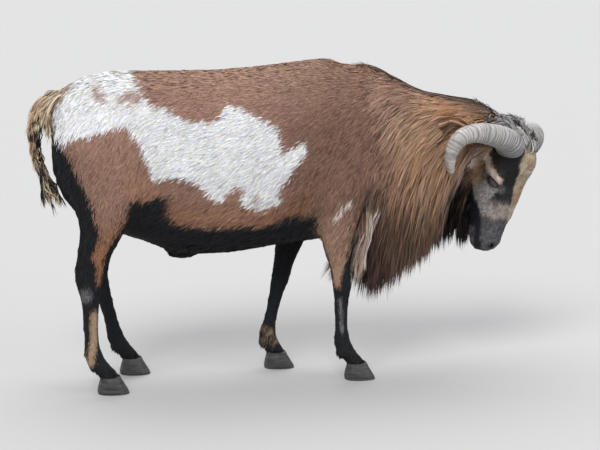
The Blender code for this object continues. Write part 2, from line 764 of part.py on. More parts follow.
def eye_centre(side):
    """The middle of an eyeball (1 right, -1 left)."""
    along, front, right = EYE
    return head_point(along, front, side * right)


def add_lids(head, side, collection, cutters):
    """Lids as a shell round the eyeball with an almond opening, and the ball's own socket."""
    centre = eye_centre(side)
    outward = head_direction(*LID_FACES, side)
    along, forwards = LID_CORNER
    corner = MUZZLEWARD * along + FACEWARD * forwards
    corner = (corner - outward * corner.dot(outward)).normalized()
    brow = outward.cross(corner)
    if brow.dot(FACEWARD) < 0:
        brow = -brow
    lid_sizes = [EYE_RADIUS + LID_THICKNESS] * 3
    shell = ball("lids", centre, (corner, brow, outward), lid_sizes, collection, 14, 8)
    boolean(head, shell, "UNION", "EXACT")
    bm = bmesh.new()
    for depth in (0.0, LID_REACH):
        loop = []
        for k in range(LID_POINTS):
            angle = 2 * math.pi * k / LID_POINTS
            rise = math.sin(angle)
            height = LID_OPENING_UP if rise > 0 else LID_OPENING_DOWN
            rim = corner * LID_OPENING_HALF * math.cos(angle) + brow * height * rise
            loop.append(bm.verts.new(centre + outward * depth + rim))
        bm.faces.new(loop)
    bmesh.ops.bridge_loops(bm, edges=bm.edges[:])
    opening = mesh_object("lid_opening", bm, cutters)
    boolean(head, opening, "DIFFERENCE", "EXACT")
    socket = ball("socket", centre, WORLD_AXES, [EYE_RADIUS + GAP] * 3, cutters, 14, 10)
    boolean(head, socket, "DIFFERENCE", "EXACT")
    discard([shell, opening, socket])


def cut_mouth(head, collection, cutters):
    """The line of the mouth: a thin curved plate that bites a little way into the muzzle."""
    bm = bmesh.new()
    loops = []
    for right in (-MOUTH_SIDES, MOUTH_SIDES):
        loop = []
        for sign in (1, -1):
            for along, front in MOUTH_LINE[::sign]:
                loop.append(bm.verts.new(head_point(along, front + sign * MOUTH_WIDTH / 2, right)))
        loops.append(bm.faces.new(loop))
    bmesh.ops.bridge_loops(bm, edges=[edge for face in loops for edge in face.edges])
    plate = mesh_object("mouth_plate", bm, cutters)
    core = grown(head, -MOUTH_DEPTH, collection)
    boolean(plate, core, "DIFFERENCE", "EXACT")
    boolean(head, plate, "DIFFERENCE")
    discard([plate, core])


def cut_nostrils(head, cutters):
    """A slanted slit on each side of the muzzle's end."""
    along, front, right = NOSTRIL
    for side in (1, -1):
        slant = head_direction(*NOSTRIL_SLANT, side)
        inward = head_direction(*NOSTRIL_INWARD, side)
        inward = (inward - slant * inward.dot(slant)).normalized()
        axes = (slant, inward.cross(slant), inward)
        place = head_point(along, front, side * right)
        cutter = ball("nostril", place, axes, NOSTRIL_SIZES, cutters, 10, 6)
        boolean(head, cutter, "DIFFERENCE")
        discard([cutter])


def ear_solid(side, collection):
    """A cupped leaf with a real rim, rolled nearly shut at its root."""
    root, middle, tip = (head_point(along, front, side * right) for along, front, right in EAR)
    opening = head_direction(*EAR_OPENS, side)
    bm = bmesh.new()
    rows = []
    for k in range(EAR_ROWS + 1):
        t = k / EAR_ROWS
        centre = root * (1 - t) ** 2 + middle * 2 * t * (1 - t) + tip * t * t
        ahead = ((middle - root) * (1 - t) + (tip - middle) * t).normalized()
        face = (opening - ahead * opening.dot(ahead)).normalized()
        across = ahead.cross(face)
        fullness = math.sin(math.pi * min(1.0, EAR_START + (1 - EAR_START) * t)) ** EAR_FULLNESS
        half = EAR_HALF_WIDTH * fullness + EAR_RIM
        cup = EAR_CUP_ROOT + (EAR_CUP_TIP - EAR_CUP_ROOT) * t
        radius = half / max(math.sin(min(cup, math.pi / 2)), EAR_LEAST_SINE)
        row = []
        for j in range(EAR_COLUMNS + 1):
            bend = cup * (2 * j / EAR_COLUMNS - 1)
            depth = radius * (EAR_CENTRE - math.cos(bend)) * EAR_SHALLOWNESS
            row.append(bm.verts.new(centre + across * radius * math.sin(bend) + face * depth))
        rows.append(row)
    for low, high in zip(rows, rows[1:]):
        for j in range(EAR_COLUMNS):
            bm.faces.new((low[j], low[j + 1], high[j + 1], high[j]))
    leaf = mesh_object("ear_leaf", bm, collection)
    wall = leaf.modifiers.new("wall", "SOLIDIFY")
    wall.thickness = EAR_THICKNESS
    wall.offset = 0
    wall.use_even_offset = False
    bake(leaf)
    stem = ball("ear_stem", root, WORLD_AXES, [EAR_ROOT] * 3, collection, 12, 8)
    return leaf, stem


def claw(name, foot, heading, inside, outside, collection):
    """One claw of a cloven hoof on its flat sole; outside is the way that it bulges."""
    rings = []
    for height, heel, toe, width in CLAW:
        middle, half = (toe + heel) / 2, (toe - heel) / 2
        outline = []
        for k in range(CLAW_POINTS):
            angle = math.pi * k / (CLAW_POINTS - 1)
            bulge = inside + width * math.sin(angle) ** CLAW_ROUNDNESS
            outline.append((middle + half * math.cos(angle), bulge))
        for share in (-CLEFT_SPREAD, CLEFT_SPREAD):
            outline.append((middle + share * half, inside))
        level = Vector((0, 0, height))
        rings.append([foot + heading * f + outside * o + level for f, o in outline])
    return loft(name, rings, collection)


def paint(obj, colour, roughness):
    """One plain colour for a node."""
    material = bpy.data.materials.get(obj.name) or bpy.data.materials.new(obj.name)
    material.use_nodes = True
    shader = material.node_tree.nodes["Principled BSDF"]
    shader.inputs["Base Color"].default_value = (*colour, 1)
    shader.inputs["Roughness"].default_value = roughness
    shader.inputs["Metallic"].default_value = 0.0
    obj.data.materials.clear()
    obj.data.materials.append(material)


def clear_of(obj, others, cutters, solver="MANIFOLD"):
    """Cut a piece back to a clearance from its neighbours, and keep its one main body."""
    for other in others:
        wider = grown(other, GAP * CLEARANCE_SPARE, cutters)
        boolean(obj, wider, "DIFFERENCE", solver)
        discard([wider])
    return keep_largest(obj)


def make_legs(flesh, model, cutters):
    """Upper and lower leg, cut from the flesh and ended flat at the coronet."""
    legs = []
    for name, (side, roof, floor, inner, outer, knee) in LEG_ZONES.items():
        block = zone(name + "_zone", limb_corners(side, roof, floor, inner, outer), cutters)
        upper = part_off(flesh, block, name + "_upper", model, cutters)
        below_corners = box_corners(-0.7, 0.7, -0.4, 0.4, CORONET_HEIGHT, knee)
        below = zone(name + "_lower_zone", below_corners, cutters)
        lower = part_off(upper, below, name + "_lower", model, cutters)
        keep_largest(upper)
        add_dewclaws(lower, LEGS[name], model)
        discard([block, below])
        legs += [upper, lower]
    return legs


def add_dewclaws(lower, rows, model):
    """The two small horny claws behind the fetlock."""
    radius, spread, length = DEWCLAW
    x, y, z, half_length, _ = min(rows, key=lambda row: abs(row[2] - DEWCLAW_HEIGHT))
    back, out, down = DEWCLAW_POINTS_TO
    sizes = (radius, radius, length)
    for side in (1, -1):
        tip = Vector((back, side * out, down)).normalized()
        across = tip.cross(Vector((0, 1, 0))).normalized()
        centre = Vector((x - half_length * DEWCLAW_BACK, y + side * spread, z))
        nub = ball("dewclaw", centre, (across, tip.cross(across), tip), sizes, model, 8, 5)
        boolean(lower, nub, "UNION")
        discard([nub])
    keep_largest(lower)


def make_hooves(model):
    """Two claws under each leg, on a flat sole."""
    hooves = []
    heel_reach = -min(heel for _, heel, _, _ in CLAW)
    for name, rows in LEGS.items():
        x, y = rows[-1][:2]
        for label, outside in (("outer", math.copysign(1, y)), ("inner", -math.copysign(1, y))):
            splay = outside * HOOF_SPLAY
            heading = Vector((math.cos(splay), math.sin(splay), 0))
            away = Vector((0, outside, 0))
            hooves.append(claw("hoof_" + name + "_" + label, Vector((x, y, 0)), heading,
                               CLEFT_WIDTH / 2 + heel_reach * math.sin(HOOF_SPLAY), away, model))
    return hooves


def lock(name, root, outward, flow, sag, size, collection, surface=None, segments=LOCK_SEGMENTS):
    """One flat, tapered lock: it leaves its root along the lie, rides over the surface and then hangs."""
    length, width, thickness = size
    step = length / segments
    place = root - outward * LOCK_SINK
    up = outward
    rings = []
    for k in range(segments + 1):
        t = k / segments
        ahead = (flow * (1 - t) + sag * t + outward * (LOCK_RISE - LOCK_FALL * t)).normalized()
        across = up.cross(ahead).normalized()
        wide = width * (LOCK_ROOT_WIDTH + LOCK_SWELL * t - LOCK_TAPER * t ** 3) / 2 + LOCK_EDGE
        thick = thickness * (1 - LOCK_THINNING * t) / 2
        rings.append([place + across * wide, place + up * thick, place - across * wide, place - up * thick])
        place = place + ahead * (step if k else step + LOCK_SINK)
        if surface:
            nearest, normal, _, _ = surface.find_nearest(place)
            lift = LOCK_LIFT * (LOCK_ROOT_LIFT + t)
            height = (place - nearest).dot(normal)
            if height < lift:
                place = nearest + normal * lift
                up = (up + normal).normalized()
        up = (up - ahead * up.dot(ahead)).normalized()
    return loft(name, rings, collection)


def neck_core(collection):
    """The neck with the dense root half of its mane."""
    rings = []
    outline = eased_rows(MANE, OUTLINE_STEPS)
    for x, y, z, lean, up, down, half_width in eased_rows(NECK, CORE_STEPS):
        tips = min(outline, key=lambda row: abs(row[0] - x))
        fade = min(1.0, max(0.0, (x - CORE_START) / CORE_RISE))
        drop = (z - down - tips[1]) * CORE_SHARE * fade
        tilt = math.radians(lean)
        rise = Vector((math.sin(tilt), 0, math.cos(tilt)))
        cover = CREST_COVER * fade
        rings.append(ring(Vector((x, y, z)), WORLD_AXES[1], rise, half_width + cover, up + cover / 2,
                          down + drop, CORE_SIDES, 1.0, CORE_KEEL))
    return loft("neck", rings, collection)


def surface_of(obj):
    """An object's surface, for finding the nearest place on it."""
    bm = bmesh.new()
    bm.from_mesh(obj.data)
    surface = BVHTree.FromBMesh(bm)
    bm.free()
    return surface


def mane_locks(core, collection):
    """Tiers of locks from the head back, over the crest, down the sides and under the throat."""
    draw = np.random.default_rng(SEED)
    surface = surface_of(core)
    outline = eased_rows(MANE, OUTLINE_STEPS)
    side, height = MANE_AXIS
    locks = []
    for tier in range(MANE_TIERS):
        share = tier / (MANE_TIERS - 1)
        stagger = MANE_STAGGER if tier % 2 else -MANE_STAGGER
        for k in range(-MANE_ROUND, MANE_ROUND + 1):
            angle = math.radians(180 - abs(k) * (MANE_FAN / MANE_ROUND)) * (1 if k >= 0 else -1)
            angle += math.radians(float(draw.uniform(-MANE_SHUFFLE, MANE_SHUFFLE)) + stagger)
            low = 0.5 - 0.5 * math.cos(angle)
            if abs(k) == MANE_ROUND and tier not in CREST_TIERS:
                continue
            run = MANE_RUN_CREST + (MANE_RUN_THROAT - MANE_RUN_CREST) * low
            x = MANE_START - share * run + float(draw.uniform(-MANE_START_SHUFFLE, MANE_START_SHUFFLE))
            around = Vector((0, math.sin(angle), math.cos(angle)))
            place, normal, _, _ = surface.ray_cast(Vector((x, side, height)) + around * 0.5, -around)
            if place is None:
                continue
            tips = min(outline, key=lambda row: abs(row[0] - place.x))
            if low > THROAT_SHARE:
                reach = max(THROAT_LEAST, (place.z - tips[1]) * THROAT_REACH)
                segments = LOCK_SEGMENTS
            else:
                reach = CREST_LENGTH + (SIDE_LENGTH - CREST_LENGTH) * low
                segments = LOCK_SEGMENTS - 1
            length = reach * float(draw.uniform(0.92, 1.06))
            back = CREST_LIE.lerp(THROAT_LIE, low)
            flow = (back - normal * back.dot(normal)).normalized()
            sag = Vector((CREST_SAG * (1 - low), 0, -1.0)).normalized()
            size = (length, LOCK_WIDTH * float(draw.uniform(0.85, 1.10)), LOCK_THICKNESS)
            locks.append(lock("mane_lock", place, normal, flow, sag, size, collection, surface, segments))
    return locks


def tail_locks(tail_rows, collection):
    """Long locks round the dock that make the tail's brush."""
    draw = np.random.default_rng(SEED + 1)
    rows = eased_rows(tail_rows, TAIL_STEPS)
    longest, width, thickness = TAIL_LOCK_SIZE
    locks = []
    for k in range(TAIL_LOCKS):
        share = TAIL_LOCK_FIRST + TAIL_LOCK_SPREAD * k / (TAIL_LOCKS - 1)
        row = rows[int(share * TAIL_STEPS * (len(tail_rows) - 1))]
        turn = k * TAIL_LOCK_TURN
        outward = Vector((-0.8 + 0.3 * math.cos(turn), math.sin(turn), 0.1)).normalized()
        root = Vector(row[:3]) + outward * row[4] * TAIL_LOCK_SEAT
        flow = TAIL_LIE.normalized()
        sag = Vector((0.42, 0.05 * math.sin(turn), -0.9)).normalized()
        room = max(TAIL_LOCK_LEAST, min(longest, (row[2] - TAIL_TIP_HEIGHT) * 0.95))
        size = (room * float(draw.uniform(0.9, 1.05)), width, thickness)
        locks.append(lock("tail_lock", root, outward * 0.6, flow, sag, size, collection))
    return locks


def head_locks(head, spots, length, flow, sag, collection, seed):
    """Small locks on the head, such as the forelock or the beard under the jaw."""
    draw = np.random.default_rng(seed)
    surface = surface_of(head)
    locks = []
    for spot in spots:
        place, normal, _, _ = surface.find_nearest(head_point(*spot))
        lie = (flow - normal * flow.dot(normal)).normalized()
        size = (length * float(draw.uniform(0.85, 1.1)), HEAD_LOCK_WIDTH, HEAD_LOCK_THICKNESS)
        locks.append(lock("head_lock", place, normal, lie, sag, size, collection))
    return locks


def join_locks(obj, locks, collection):
    """One union of a piece and the locks that grow from it."""
    name = obj.name
    joined = fuse(name, [obj] + locks, collection)
    joined.name = name
    bm = bmesh.new()
    bm.from_mesh(joined.data)
    bmesh.ops.triangulate(bm, faces=bm.faces[:])
    bm.to_mesh(joined.data)
    bm.free()
    return keep_largest(joined)


def main():
    """Builds every node and moves the model over the origin."""
    clear_scene()
    model = new_collection("cameroon_sheep")
    cutters = new_collection("cutters")

    head = head_solid(model, cutters)
    head_zone = zone("head_zone", head_zone_corners(), cutters)
    boolean(head, head_zone, "INTERSECT")
    keep_largest(head)
    for side in (1, -1):
        add_lids(head, side, model, cutters)
    cut_mouth(head, model, cutters)
    cut_nostrils(head, cutters)
    keep_largest(head)

    torso = body_solid(model)
    torso.name = "torso"
    top_x, top_z = NECK_JOINT_TOP
    bottom_x, bottom_z = NECK_JOINT_BOTTOM
    corners = []
    for y in (-NECK_ZONE_SIDE, NECK_ZONE_SIDE):
        corners += [(top_x, y, top_z), (bottom_x, y, bottom_z)]
        corners += [(NECK_ZONE_FRONT, y, top_z), (NECK_ZONE_FRONT, y, bottom_z)]
    neck_zone = zone("neck_zone", corners, cutters)
    discard([part_off(torso, neck_zone, "neck_flesh", model, cutters)])
    neck = neck_core(model)
    boolean(neck, neck_zone, "INTERSECT")
    legs = make_legs(torso, model, cutters)
    keep_largest(torso)

    beard = head_locks(head, BEARD, BEARD_LENGTH, BEARD_LIE, BEARD_SAG, model, SEED + 2)
    forelock = head_locks(head, FORELOCK, FORELOCK_LENGTH, FORELOCK_LIE, MUZZLEWARD, model, SEED + 3)
    tufts = beard + forelock
    bare = [new_object(piece.name + "_bare", piece.data.copy(), cutters) for piece in [head] + tufts]
    head = join_locks(head, tufts, model)

    nodes = [torso, neck, head] + legs + make_hooves(model)
    horns = []
    ears = []
    for side, label in ((1, "right"), (-1, "left")):
        horn = loft("horn_" + label, horn_rings(side), model)
        horns.append(clear_of(horn, bare, cutters))
        leaf, stem = ear_solid(side, model)
        leaf.name = "ear_" + label
        boolean(leaf, stem, "UNION")
        discard([stem])
        ears.append(leaf)
        nodes.append(ball("eye_" + label, eye_centre(side), WORLD_AXES, [EYE_RADIUS] * 3, model, 14, 10))
    wider = grown(head_zone, GAP, cutters)
    boolean(neck, wider, "DIFFERENCE")
    keep_largest(neck)
    neck = join_locks(neck, mane_locks(neck, model), model)
    discard([wider])
    nodes[1] = clear_of(neck, [torso] + legs[:4] + bare + horns, cutters)
    for ear, horn in zip(ears, horns):
        clear_of(ear, bare + [neck, horn], cutters)
    discard(bare)
    tail = tube("tail", TAIL, WORLD_AXES[1], 10, model)
    tail = join_locks(tail, tail_locks(TAIL, model), model)
    clear_of(tail, [torso], cutters)
    nodes += horns + ears + [tail]

    low = Vector(min(v.co[i] for node in nodes for v in node.data.vertices) for i in range(3))
    high = Vector(max(v.co[i] for node in nodes for v in node.data.vertices) for i in range(3))
    to_origin = Matrix.Translation((-(low.x + high.x) / 2, -(low.y + high.y) / 2, -low.z))
    for node in nodes:
        node.data.transform(to_origin)
        node.data.name = node.name
        key = next((key for key in COLOURS if key in node.name), "torso")
        paint(node, COLOURS[key], HAIR_ROUGHNESS)
    for cutter in list(cutters.objects):
        cutter.data.transform(to_origin)
    print("box", [round(v, 4) for v in low], [round(v, 4) for v in high])
    for node in nodes:
        print(node.name, len(node.data.polygons))


if __name__ == "__main__":
    main()
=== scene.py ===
import math

import bmesh
import bpy
import numpy as np
from mathutils import Matrix, Vector
from mathutils.bvhtree import BVHTree


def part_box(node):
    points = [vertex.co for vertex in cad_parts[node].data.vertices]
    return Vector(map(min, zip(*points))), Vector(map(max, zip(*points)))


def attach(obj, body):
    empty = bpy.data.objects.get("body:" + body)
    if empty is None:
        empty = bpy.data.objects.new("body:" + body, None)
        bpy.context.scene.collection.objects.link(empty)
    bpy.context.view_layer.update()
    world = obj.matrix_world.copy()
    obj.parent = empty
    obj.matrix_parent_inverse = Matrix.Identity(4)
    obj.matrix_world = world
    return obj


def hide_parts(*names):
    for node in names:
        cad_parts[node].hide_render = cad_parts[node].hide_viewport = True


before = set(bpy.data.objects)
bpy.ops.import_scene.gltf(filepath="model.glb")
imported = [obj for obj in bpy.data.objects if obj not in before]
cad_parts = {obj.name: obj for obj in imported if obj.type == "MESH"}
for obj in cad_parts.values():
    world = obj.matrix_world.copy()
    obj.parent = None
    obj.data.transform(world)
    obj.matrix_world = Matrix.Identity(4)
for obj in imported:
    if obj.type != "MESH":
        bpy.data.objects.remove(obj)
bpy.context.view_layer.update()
print("solids:", len(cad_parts), "nodes")

# %% [markdown]
# A cameroon sheep is a hair sheep: short, flat summer hair all over, and on a ram a long mane from the
# poll to the brisket. This file dresses the plain solids of one ram in that coat.
# Everything is measured in the solids' own frame: X runs to the head, Y to the left side, Z up.
# The head is turned to the right and tucked, so it gets a frame of its own with three axes.

# %% The head's own axes
UP = Vector((0.0, 0.0, 1.0))
POLL = Vector((0.492, -0.045, 0.487))
SIDES = {1: "right", -1: "left"}
HEAD_TURN = math.radians(-40)
HEAD_TUCK = math.radians(9)
HEAD_ROLL = math.radians(5)
HEADING = Vector((math.cos(HEAD_TURN), math.sin(HEAD_TURN), 0))
FACEWARD = HEADING * math.cos(HEAD_TUCK) - UP * math.sin(HEAD_TUCK)
RIGHTWARD = Matrix.Rotation(-HEAD_ROLL, 3, FACEWARD) @ Vector((HEADING.y, -HEADING.x, 0))
MUZZLEWARD = FACEWARD.cross(RIGHTWARD)
EYE = (0.109, -0.057, 0.0475)
EYE_RADIUS = 0.0135


def head_point(along, front, right):
    """A place in the head's frame, as a point beside the animal's own middle."""
    return POLL + MUZZLEWARD * along + FACEWARD * front + RIGHTWARD * right


def mirrored_spot(spot, side):
    """A spot of the head on one side, 1 for the right."""
    return head_point(spot[0], spot[1], side * spot[2])


low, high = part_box("eye_right")
PLACE = (low + high) / 2 - head_point(*EYE)
print("the animal's middle stands at", [round(c, 4) for c in PLACE])


def head_coordinates(points):
    """Points of the animal as distances down the face, forward of it and to its right."""
    away = points - np.array(POLL)
    return away @ np.array(MUZZLEWARD), away @ np.array(FACEWARD), away @ np.array(RIGHTWARD)


# %% [markdown]
# The camera comes early. It stands level with the ram's right side, a little behind the shoulder and
# a little above the back, at a portrait distance.

# %% Camera
CAMERA_AZIMUTH = math.radians(-12)
CAMERA_HEIGHT = math.radians(10)
CAMERA_DISTANCE = 3.6
CAMERA_LENS = 105.84
CAMERA_AIM = Vector((0.0, 0.0, 0.31))
toward_camera = Vector((math.sin(CAMERA_AZIMUTH) * math.cos(CAMERA_HEIGHT),
                        -math.cos(CAMERA_AZIMUTH) * math.cos(CAMERA_HEIGHT),
                        math.sin(CAMERA_HEIGHT)))
camera_data = bpy.data.cameras.new("camera")
camera_data.lens = CAMERA_LENS
camera_data.sensor_width = 36.0
camera = bpy.data.objects.new("camera", camera_data)
bpy.context.scene.collection.objects.link(camera)
camera.location = CAMERA_AIM + PLACE + toward_camera * CAMERA_DISTANCE
camera.rotation_euler = (-toward_camera).to_track_quat("-Z", "Y").to_euler()
bpy.context.scene.camera = camera
print("camera stands at", [round(c, 3) for c in camera.location])

# %% [markdown]
# Living shapes are drawn through sections: a circle is laid at the first section, then its edges are
# extruded from section to section, and each new ring is moved into place. A smooth curve through the
# named sections gives the rings between them. The neck's flesh, the dock and the horns are made so.

# %% Rings and lofts
def eased(rows, steps):
    """Rows of numbers between the named rows, on a smooth curve through them."""
    table = np.array(rows, float)
    padded = np.vstack([2 * table[0] - table[1], table, 2 * table[-1] - table[-2]])
    between = []
    for k in range(len(table) - 1):
        before, start, end, after = padded[k:k + 4]
        for step in range(steps):
            t = step / steps
            between.append(0.5 * (2 * start + (end - before) * t
                                  + (2 * before - 5 * start + 4 * end - after) * t ** 2
                                  + (3 * start - before - 3 * end + after) * t ** 3))
    between.append(table[-1])
    return between


def oval(centre, across, up, half_width, half_up, half_down, sides, up_power=1.0, down_power=1.0):
    """One ring: an oval whose upper and lower halves have their own height and squareness."""
    points = []
    for k in range(sides):
        angle = 2 * math.pi * k / sides
        side, rise = math.cos(angle), math.sin(angle)
        height, power = (half_up, up_power) if rise >= 0 else (half_down, down_power)
        points.append(centre + across * half_width * math.copysign(abs(side) ** power, side)
                      + up * height * math.copysign(abs(rise) ** power, rise))
    return points


def drawn_through(rings):
    """A closed shell: a circle extruded from ring to ring and filled at both ends."""
    bm = bmesh.new()
    made = bmesh.ops.create_circle(bm, segments=len(rings[0]), radius=1.0)
    loop = made["verts"]
    for vert, point in zip(loop, rings[0]):
        vert.co = point
    edges = bm.edges[:]
    for points in rings[1:]:
        place = {tuple(vert.co): k for k, vert in enumerate(loop)}
        made = bmesh.ops.extrude_edge_only(bm, edges=edges)["geom"]
        edges = [part for part in made if isinstance(part, bmesh.types.BMEdge)]
        fresh = [part for part in made if isinstance(part, bmesh.types.BMVert)]
        loop = sorted(fresh, key=lambda vert: place[tuple(vert.co)])
        for vert, point in zip(loop, points):
            vert.co = point
    bmesh.ops.holes_fill(bm, edges=bm.edges[:], sides=0)
    bmesh.ops.triangulate(bm, faces=[face for face in bm.faces if len(face.verts) > 4])
    bmesh.ops.recalc_face_normals(bm, faces=bm.faces[:])
    return bm


def carried_axes(centres, first_up):
    """Axes for each ring, carried along a line without a twist."""
    axes = []
    up = first_up
    for k in range(len(centres)):
        ahead = (centres[min(k + 1, len(centres) - 1)] - centres[max(k - 1, 0)]).normalized()
        up = (up - ahead * up.dot(ahead)).normalized()
        axes.append((ahead.cross(up), up))
    return axes


def new_object(name, mesh):
    """An object for a mesh, in the scene."""
    thing = bpy.data.objects.new(name, mesh)
    bpy.context.scene.collection.objects.link(thing)
    return thing


def from_bmesh(name, bm):
    """An object from a bmesh, which is freed."""
    mesh = bpy.data.meshes.new(name)
    bm.to_mesh(mesh)
    bm.free()
    return new_object(name, mesh)


def with_modifiers(thing):
    """The object's mesh with its modifiers applied, in place of the old one."""
    graph = bpy.context.evaluated_depsgraph_get()
    mesh = bpy.data.meshes.new_from_object(thing.evaluated_get(graph))
    thing.modifiers.clear()
    thing.data = mesh
    return thing


def remeshed(thing, voxel):
    """The object as one even closed surface."""
    change = thing.modifiers.new("even", "REMESH")
    change.mode = "VOXEL"
    change.voxel_size = voxel
    return with_modifiers(thing)


# %% [markdown]
# Flesh first. The solids of the trunk, legs, head and ears meet with fine gaps and are faceted, so
# copies of them are joined, swollen by a hair's breadth so that they overlap, and remeshed as one
# surface. The neck's solid holds its mane, so the bare neck is drawn again from its own sections.
# The other way would be a sculpt from nothing, which could stray from the sizes that the solids keep.

# %% Copies of the flesh
SWELL = 0.0004
LEGS = ["foreleg_right", "foreleg_left", "hindleg_right", "hindleg_left"]
LEG_NODES = [leg + part for leg in LEGS for part in ("_upper", "_lower")]


def add_to(whole, part):
    """The second bmesh joined into the first."""
    mesh = bpy.data.meshes.new("part")
    part.to_mesh(mesh)
    part.free()
    whole.from_mesh(mesh)
    bpy.data.meshes.remove(mesh)


def copied(names):
    """One bmesh with welded copies of the named nodes, in the animal's own place."""
    whole = bmesh.new()
    for name in names:
        part = bmesh.new()
        part.from_mesh(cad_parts[name].data)
        bmesh.ops.remove_doubles(part, verts=part.verts[:], dist=0.00002)
        bmesh.ops.recalc_face_normals(part, faces=part.faces[:])
        part.normal_update()
        moved = [vert.co + vert.normal * SWELL - PLACE for vert in part.verts]
        for vert, point in zip(part.verts, moved):
            vert.co = point
        add_to(whole, part)
    return whole


def joined(*things):
    """One bmesh of several objects, which are removed."""
    whole = bmesh.new()
    for thing in things:
        whole.from_mesh(thing.data)
        bpy.data.objects.remove(thing)
    return whole


# %% The bare neck and the dock
# centre, lean in degrees, half height above, half height below, half width
NECK = [
    (0.06, 0.0, 0.445, 2, 0.198, 0.16, 0.112),
    (0.11, 0.0, 0.448, 8, 0.184, 0.16, 0.108),
    (0.16, 0.001, 0.452, 14, 0.152, 0.15, 0.098),
    (0.21, 0.003, 0.458, 16, 0.122, 0.134, 0.088),
    (0.265, 0.007, 0.46, 14, 0.106, 0.116, 0.076),
    (0.32, 0.013, 0.46, 10, 0.096, 0.098, 0.064),
    (0.37, 0.02, 0.46, 4, 0.086, 0.082, 0.055),
    (0.41, 0.024, 0.458, 0, 0.066, 0.066, 0.048),
]
# centre, half width, half thickness
TAIL = [
    (-0.452, 0.0, 0.59, 0.018, 0.014),
    (-0.5, 0.0, 0.58, 0.012, 0.01),
    (-0.522, 0.0, 0.552, 0.01, 0.008),
    (-0.53, 0.0, 0.505, 0.009, 0.007),
    (-0.523, 0.0, 0.452, 0.007, 0.006),
    (-0.508, 0.0, 0.408, 0.004, 0.004),
]
NECK_SIDES = 40
DOCK_SIDES = 16


def neck_shell():
    """The bare neck, thicker than the mane's roots need and bare of locks."""
    rings = []
    for x, y, z, lean, up, down, half_width in eased(NECK, 4):
        tilt = math.radians(lean)
        rise = Vector((math.sin(tilt), 0, math.cos(tilt)))
        rings.append(oval(Vector((x, y, z)), Vector((0, 1, 0)), rise, half_width, up, down, NECK_SIDES))
    return drawn_through(rings)


def dock_shell():
    """The fleshy core of the tail."""
    rows = eased(TAIL, 4)
    centres = [Vector(row[:3]) for row in rows]
    rings = []
    for row, (across, up) in zip(rows, carried_axes(centres, UP)):
        rings.append(oval(Vector(row[:3]), across, up, row[3], row[4], row[4], DOCK_SIDES))
    return drawn_through(rings)


BODY_VOXEL = 0.0062
body = copied(["torso"] + LEG_NODES)
add_to(body, neck_shell())
add_to(body, dock_shell())
body = remeshed(from_bmesh("body", body), BODY_VOXEL)
print("body flesh:", len(body.data.polygons), "faces")

# %% [markdown]
# The head's solid carries coarse locks for the forelock and beard. Finer ones replace them later, so
# here they are trimmed off: the copy is cut down to a shell that is drawn round the bare head, with
# balls that leave the eyes, the horn roots and the muzzle whole. The finer voxel keeps lids, nostrils
# and the line of the mouth.

# %% The bare head
# distance down the face, front, widest, back, half width, squareness of brow and jaw
HEAD = [
    (-0.016, -0.056, -0.072, -0.096, 0.028, 1.0, 1.0),
    (0.004, -0.026, -0.068, -0.118, 0.046, 0.85, 1.0),
    (0.038, -0.004, -0.056, -0.138, 0.053, 0.75, 1.0),
    (0.078, 0.001, -0.048, -0.15, 0.059, 0.7, 1.15),
    (0.11, -0.006, -0.048, -0.146, 0.058, 0.75, 1.2),
    (0.14, -0.016, -0.056, -0.134, 0.048, 0.82, 1.1),
    (0.175, -0.026, -0.064, -0.117, 0.038, 0.82, 1.0),
    (0.205, -0.034, -0.069, -0.108, 0.033, 0.8, 0.95),
    (0.232, -0.038, -0.073, -0.104, 0.032, 0.8, 0.9),
    (0.25, -0.045, -0.076, -0.098, 0.028, 0.85, 0.9),
    (0.261, -0.058, -0.076, -0.088, 0.016, 1.0, 1.0),
]
HEAD_SIDES = 40
HEAD_ROOM = 0.003
NOSTRIL = (0.243, -0.048, 0.0165)
SPARED = [
    (EYE, 0.023),
    ((0.085, -0.04, 0.034), 0.03),
    ((0.052, -0.026, 0.016), 0.034),
    (NOSTRIL, 0.02),
    ((0.232, -0.075, 0.01), 0.034),
]
HEAD_VOXEL = 0.0016


def head_mask():
    """A closed shell round the bare head, which leaves the locks outside."""
    rings = []
    for along, front, widest, back, half_width, brow, jaw in eased(HEAD, 4):
        along += HEAD_ROOM * (along > 0.2) - HEAD_ROOM * (along < 0.0)
        rings.append(oval(head_point(along, widest, 0), RIGHTWARD, FACEWARD, half_width + HEAD_ROOM,
                          front - widest + HEAD_ROOM, widest - back + HEAD_ROOM, HEAD_SIDES, brow, jaw))
    mask = drawn_through(rings)
    for spot, radius in SPARED:
        for side in SIDES:
            bmesh.ops.create_icosphere(mask, subdivisions=3, radius=radius,
                                       matrix=Matrix.Translation(mirrored_spot(spot, side)))
    return remeshed(from_bmesh("head_mask", mask), 0.0025)


def cut_down(thing, mask):
    """The part of an object that lies inside a mask."""
    change = thing.modifiers.new("cut", "BOOLEAN")
    change.operation = "INTERSECT"
    change.solver = "MANIFOLD"
    change.object = mask
    with_modifiers(thing)
    bpy.data.objects.remove(mask)
    return thing


whole = joined(cut_down(from_bmesh("bare_head", copied(["head"])), head_mask()))
add_to(whole, copied(["ear_right", "ear_left"]))
head = remeshed(from_bmesh("head", whole), HEAD_VOXEL)
print("head flesh:", len(head.data.polygons), "faces")

# %% [markdown]
# A remeshed surface still shows the solids' facets. They are relaxed in pairs of steps, one that
# smooths and one that swells back, so that thin legs keep their girth. Lids, nostrils, mouth and ear
# rims are held, since smoothing would close them.

# %% Smoothing the flesh
def numbers(items, label, width, kind=np.float32):
    """One measure of a mesh's vertices, edges or loops, as rows of numbers."""
    flat = np.empty(len(items) * width, kind)
    items.foreach_get(label, flat)
    return flat.reshape(-1, width)


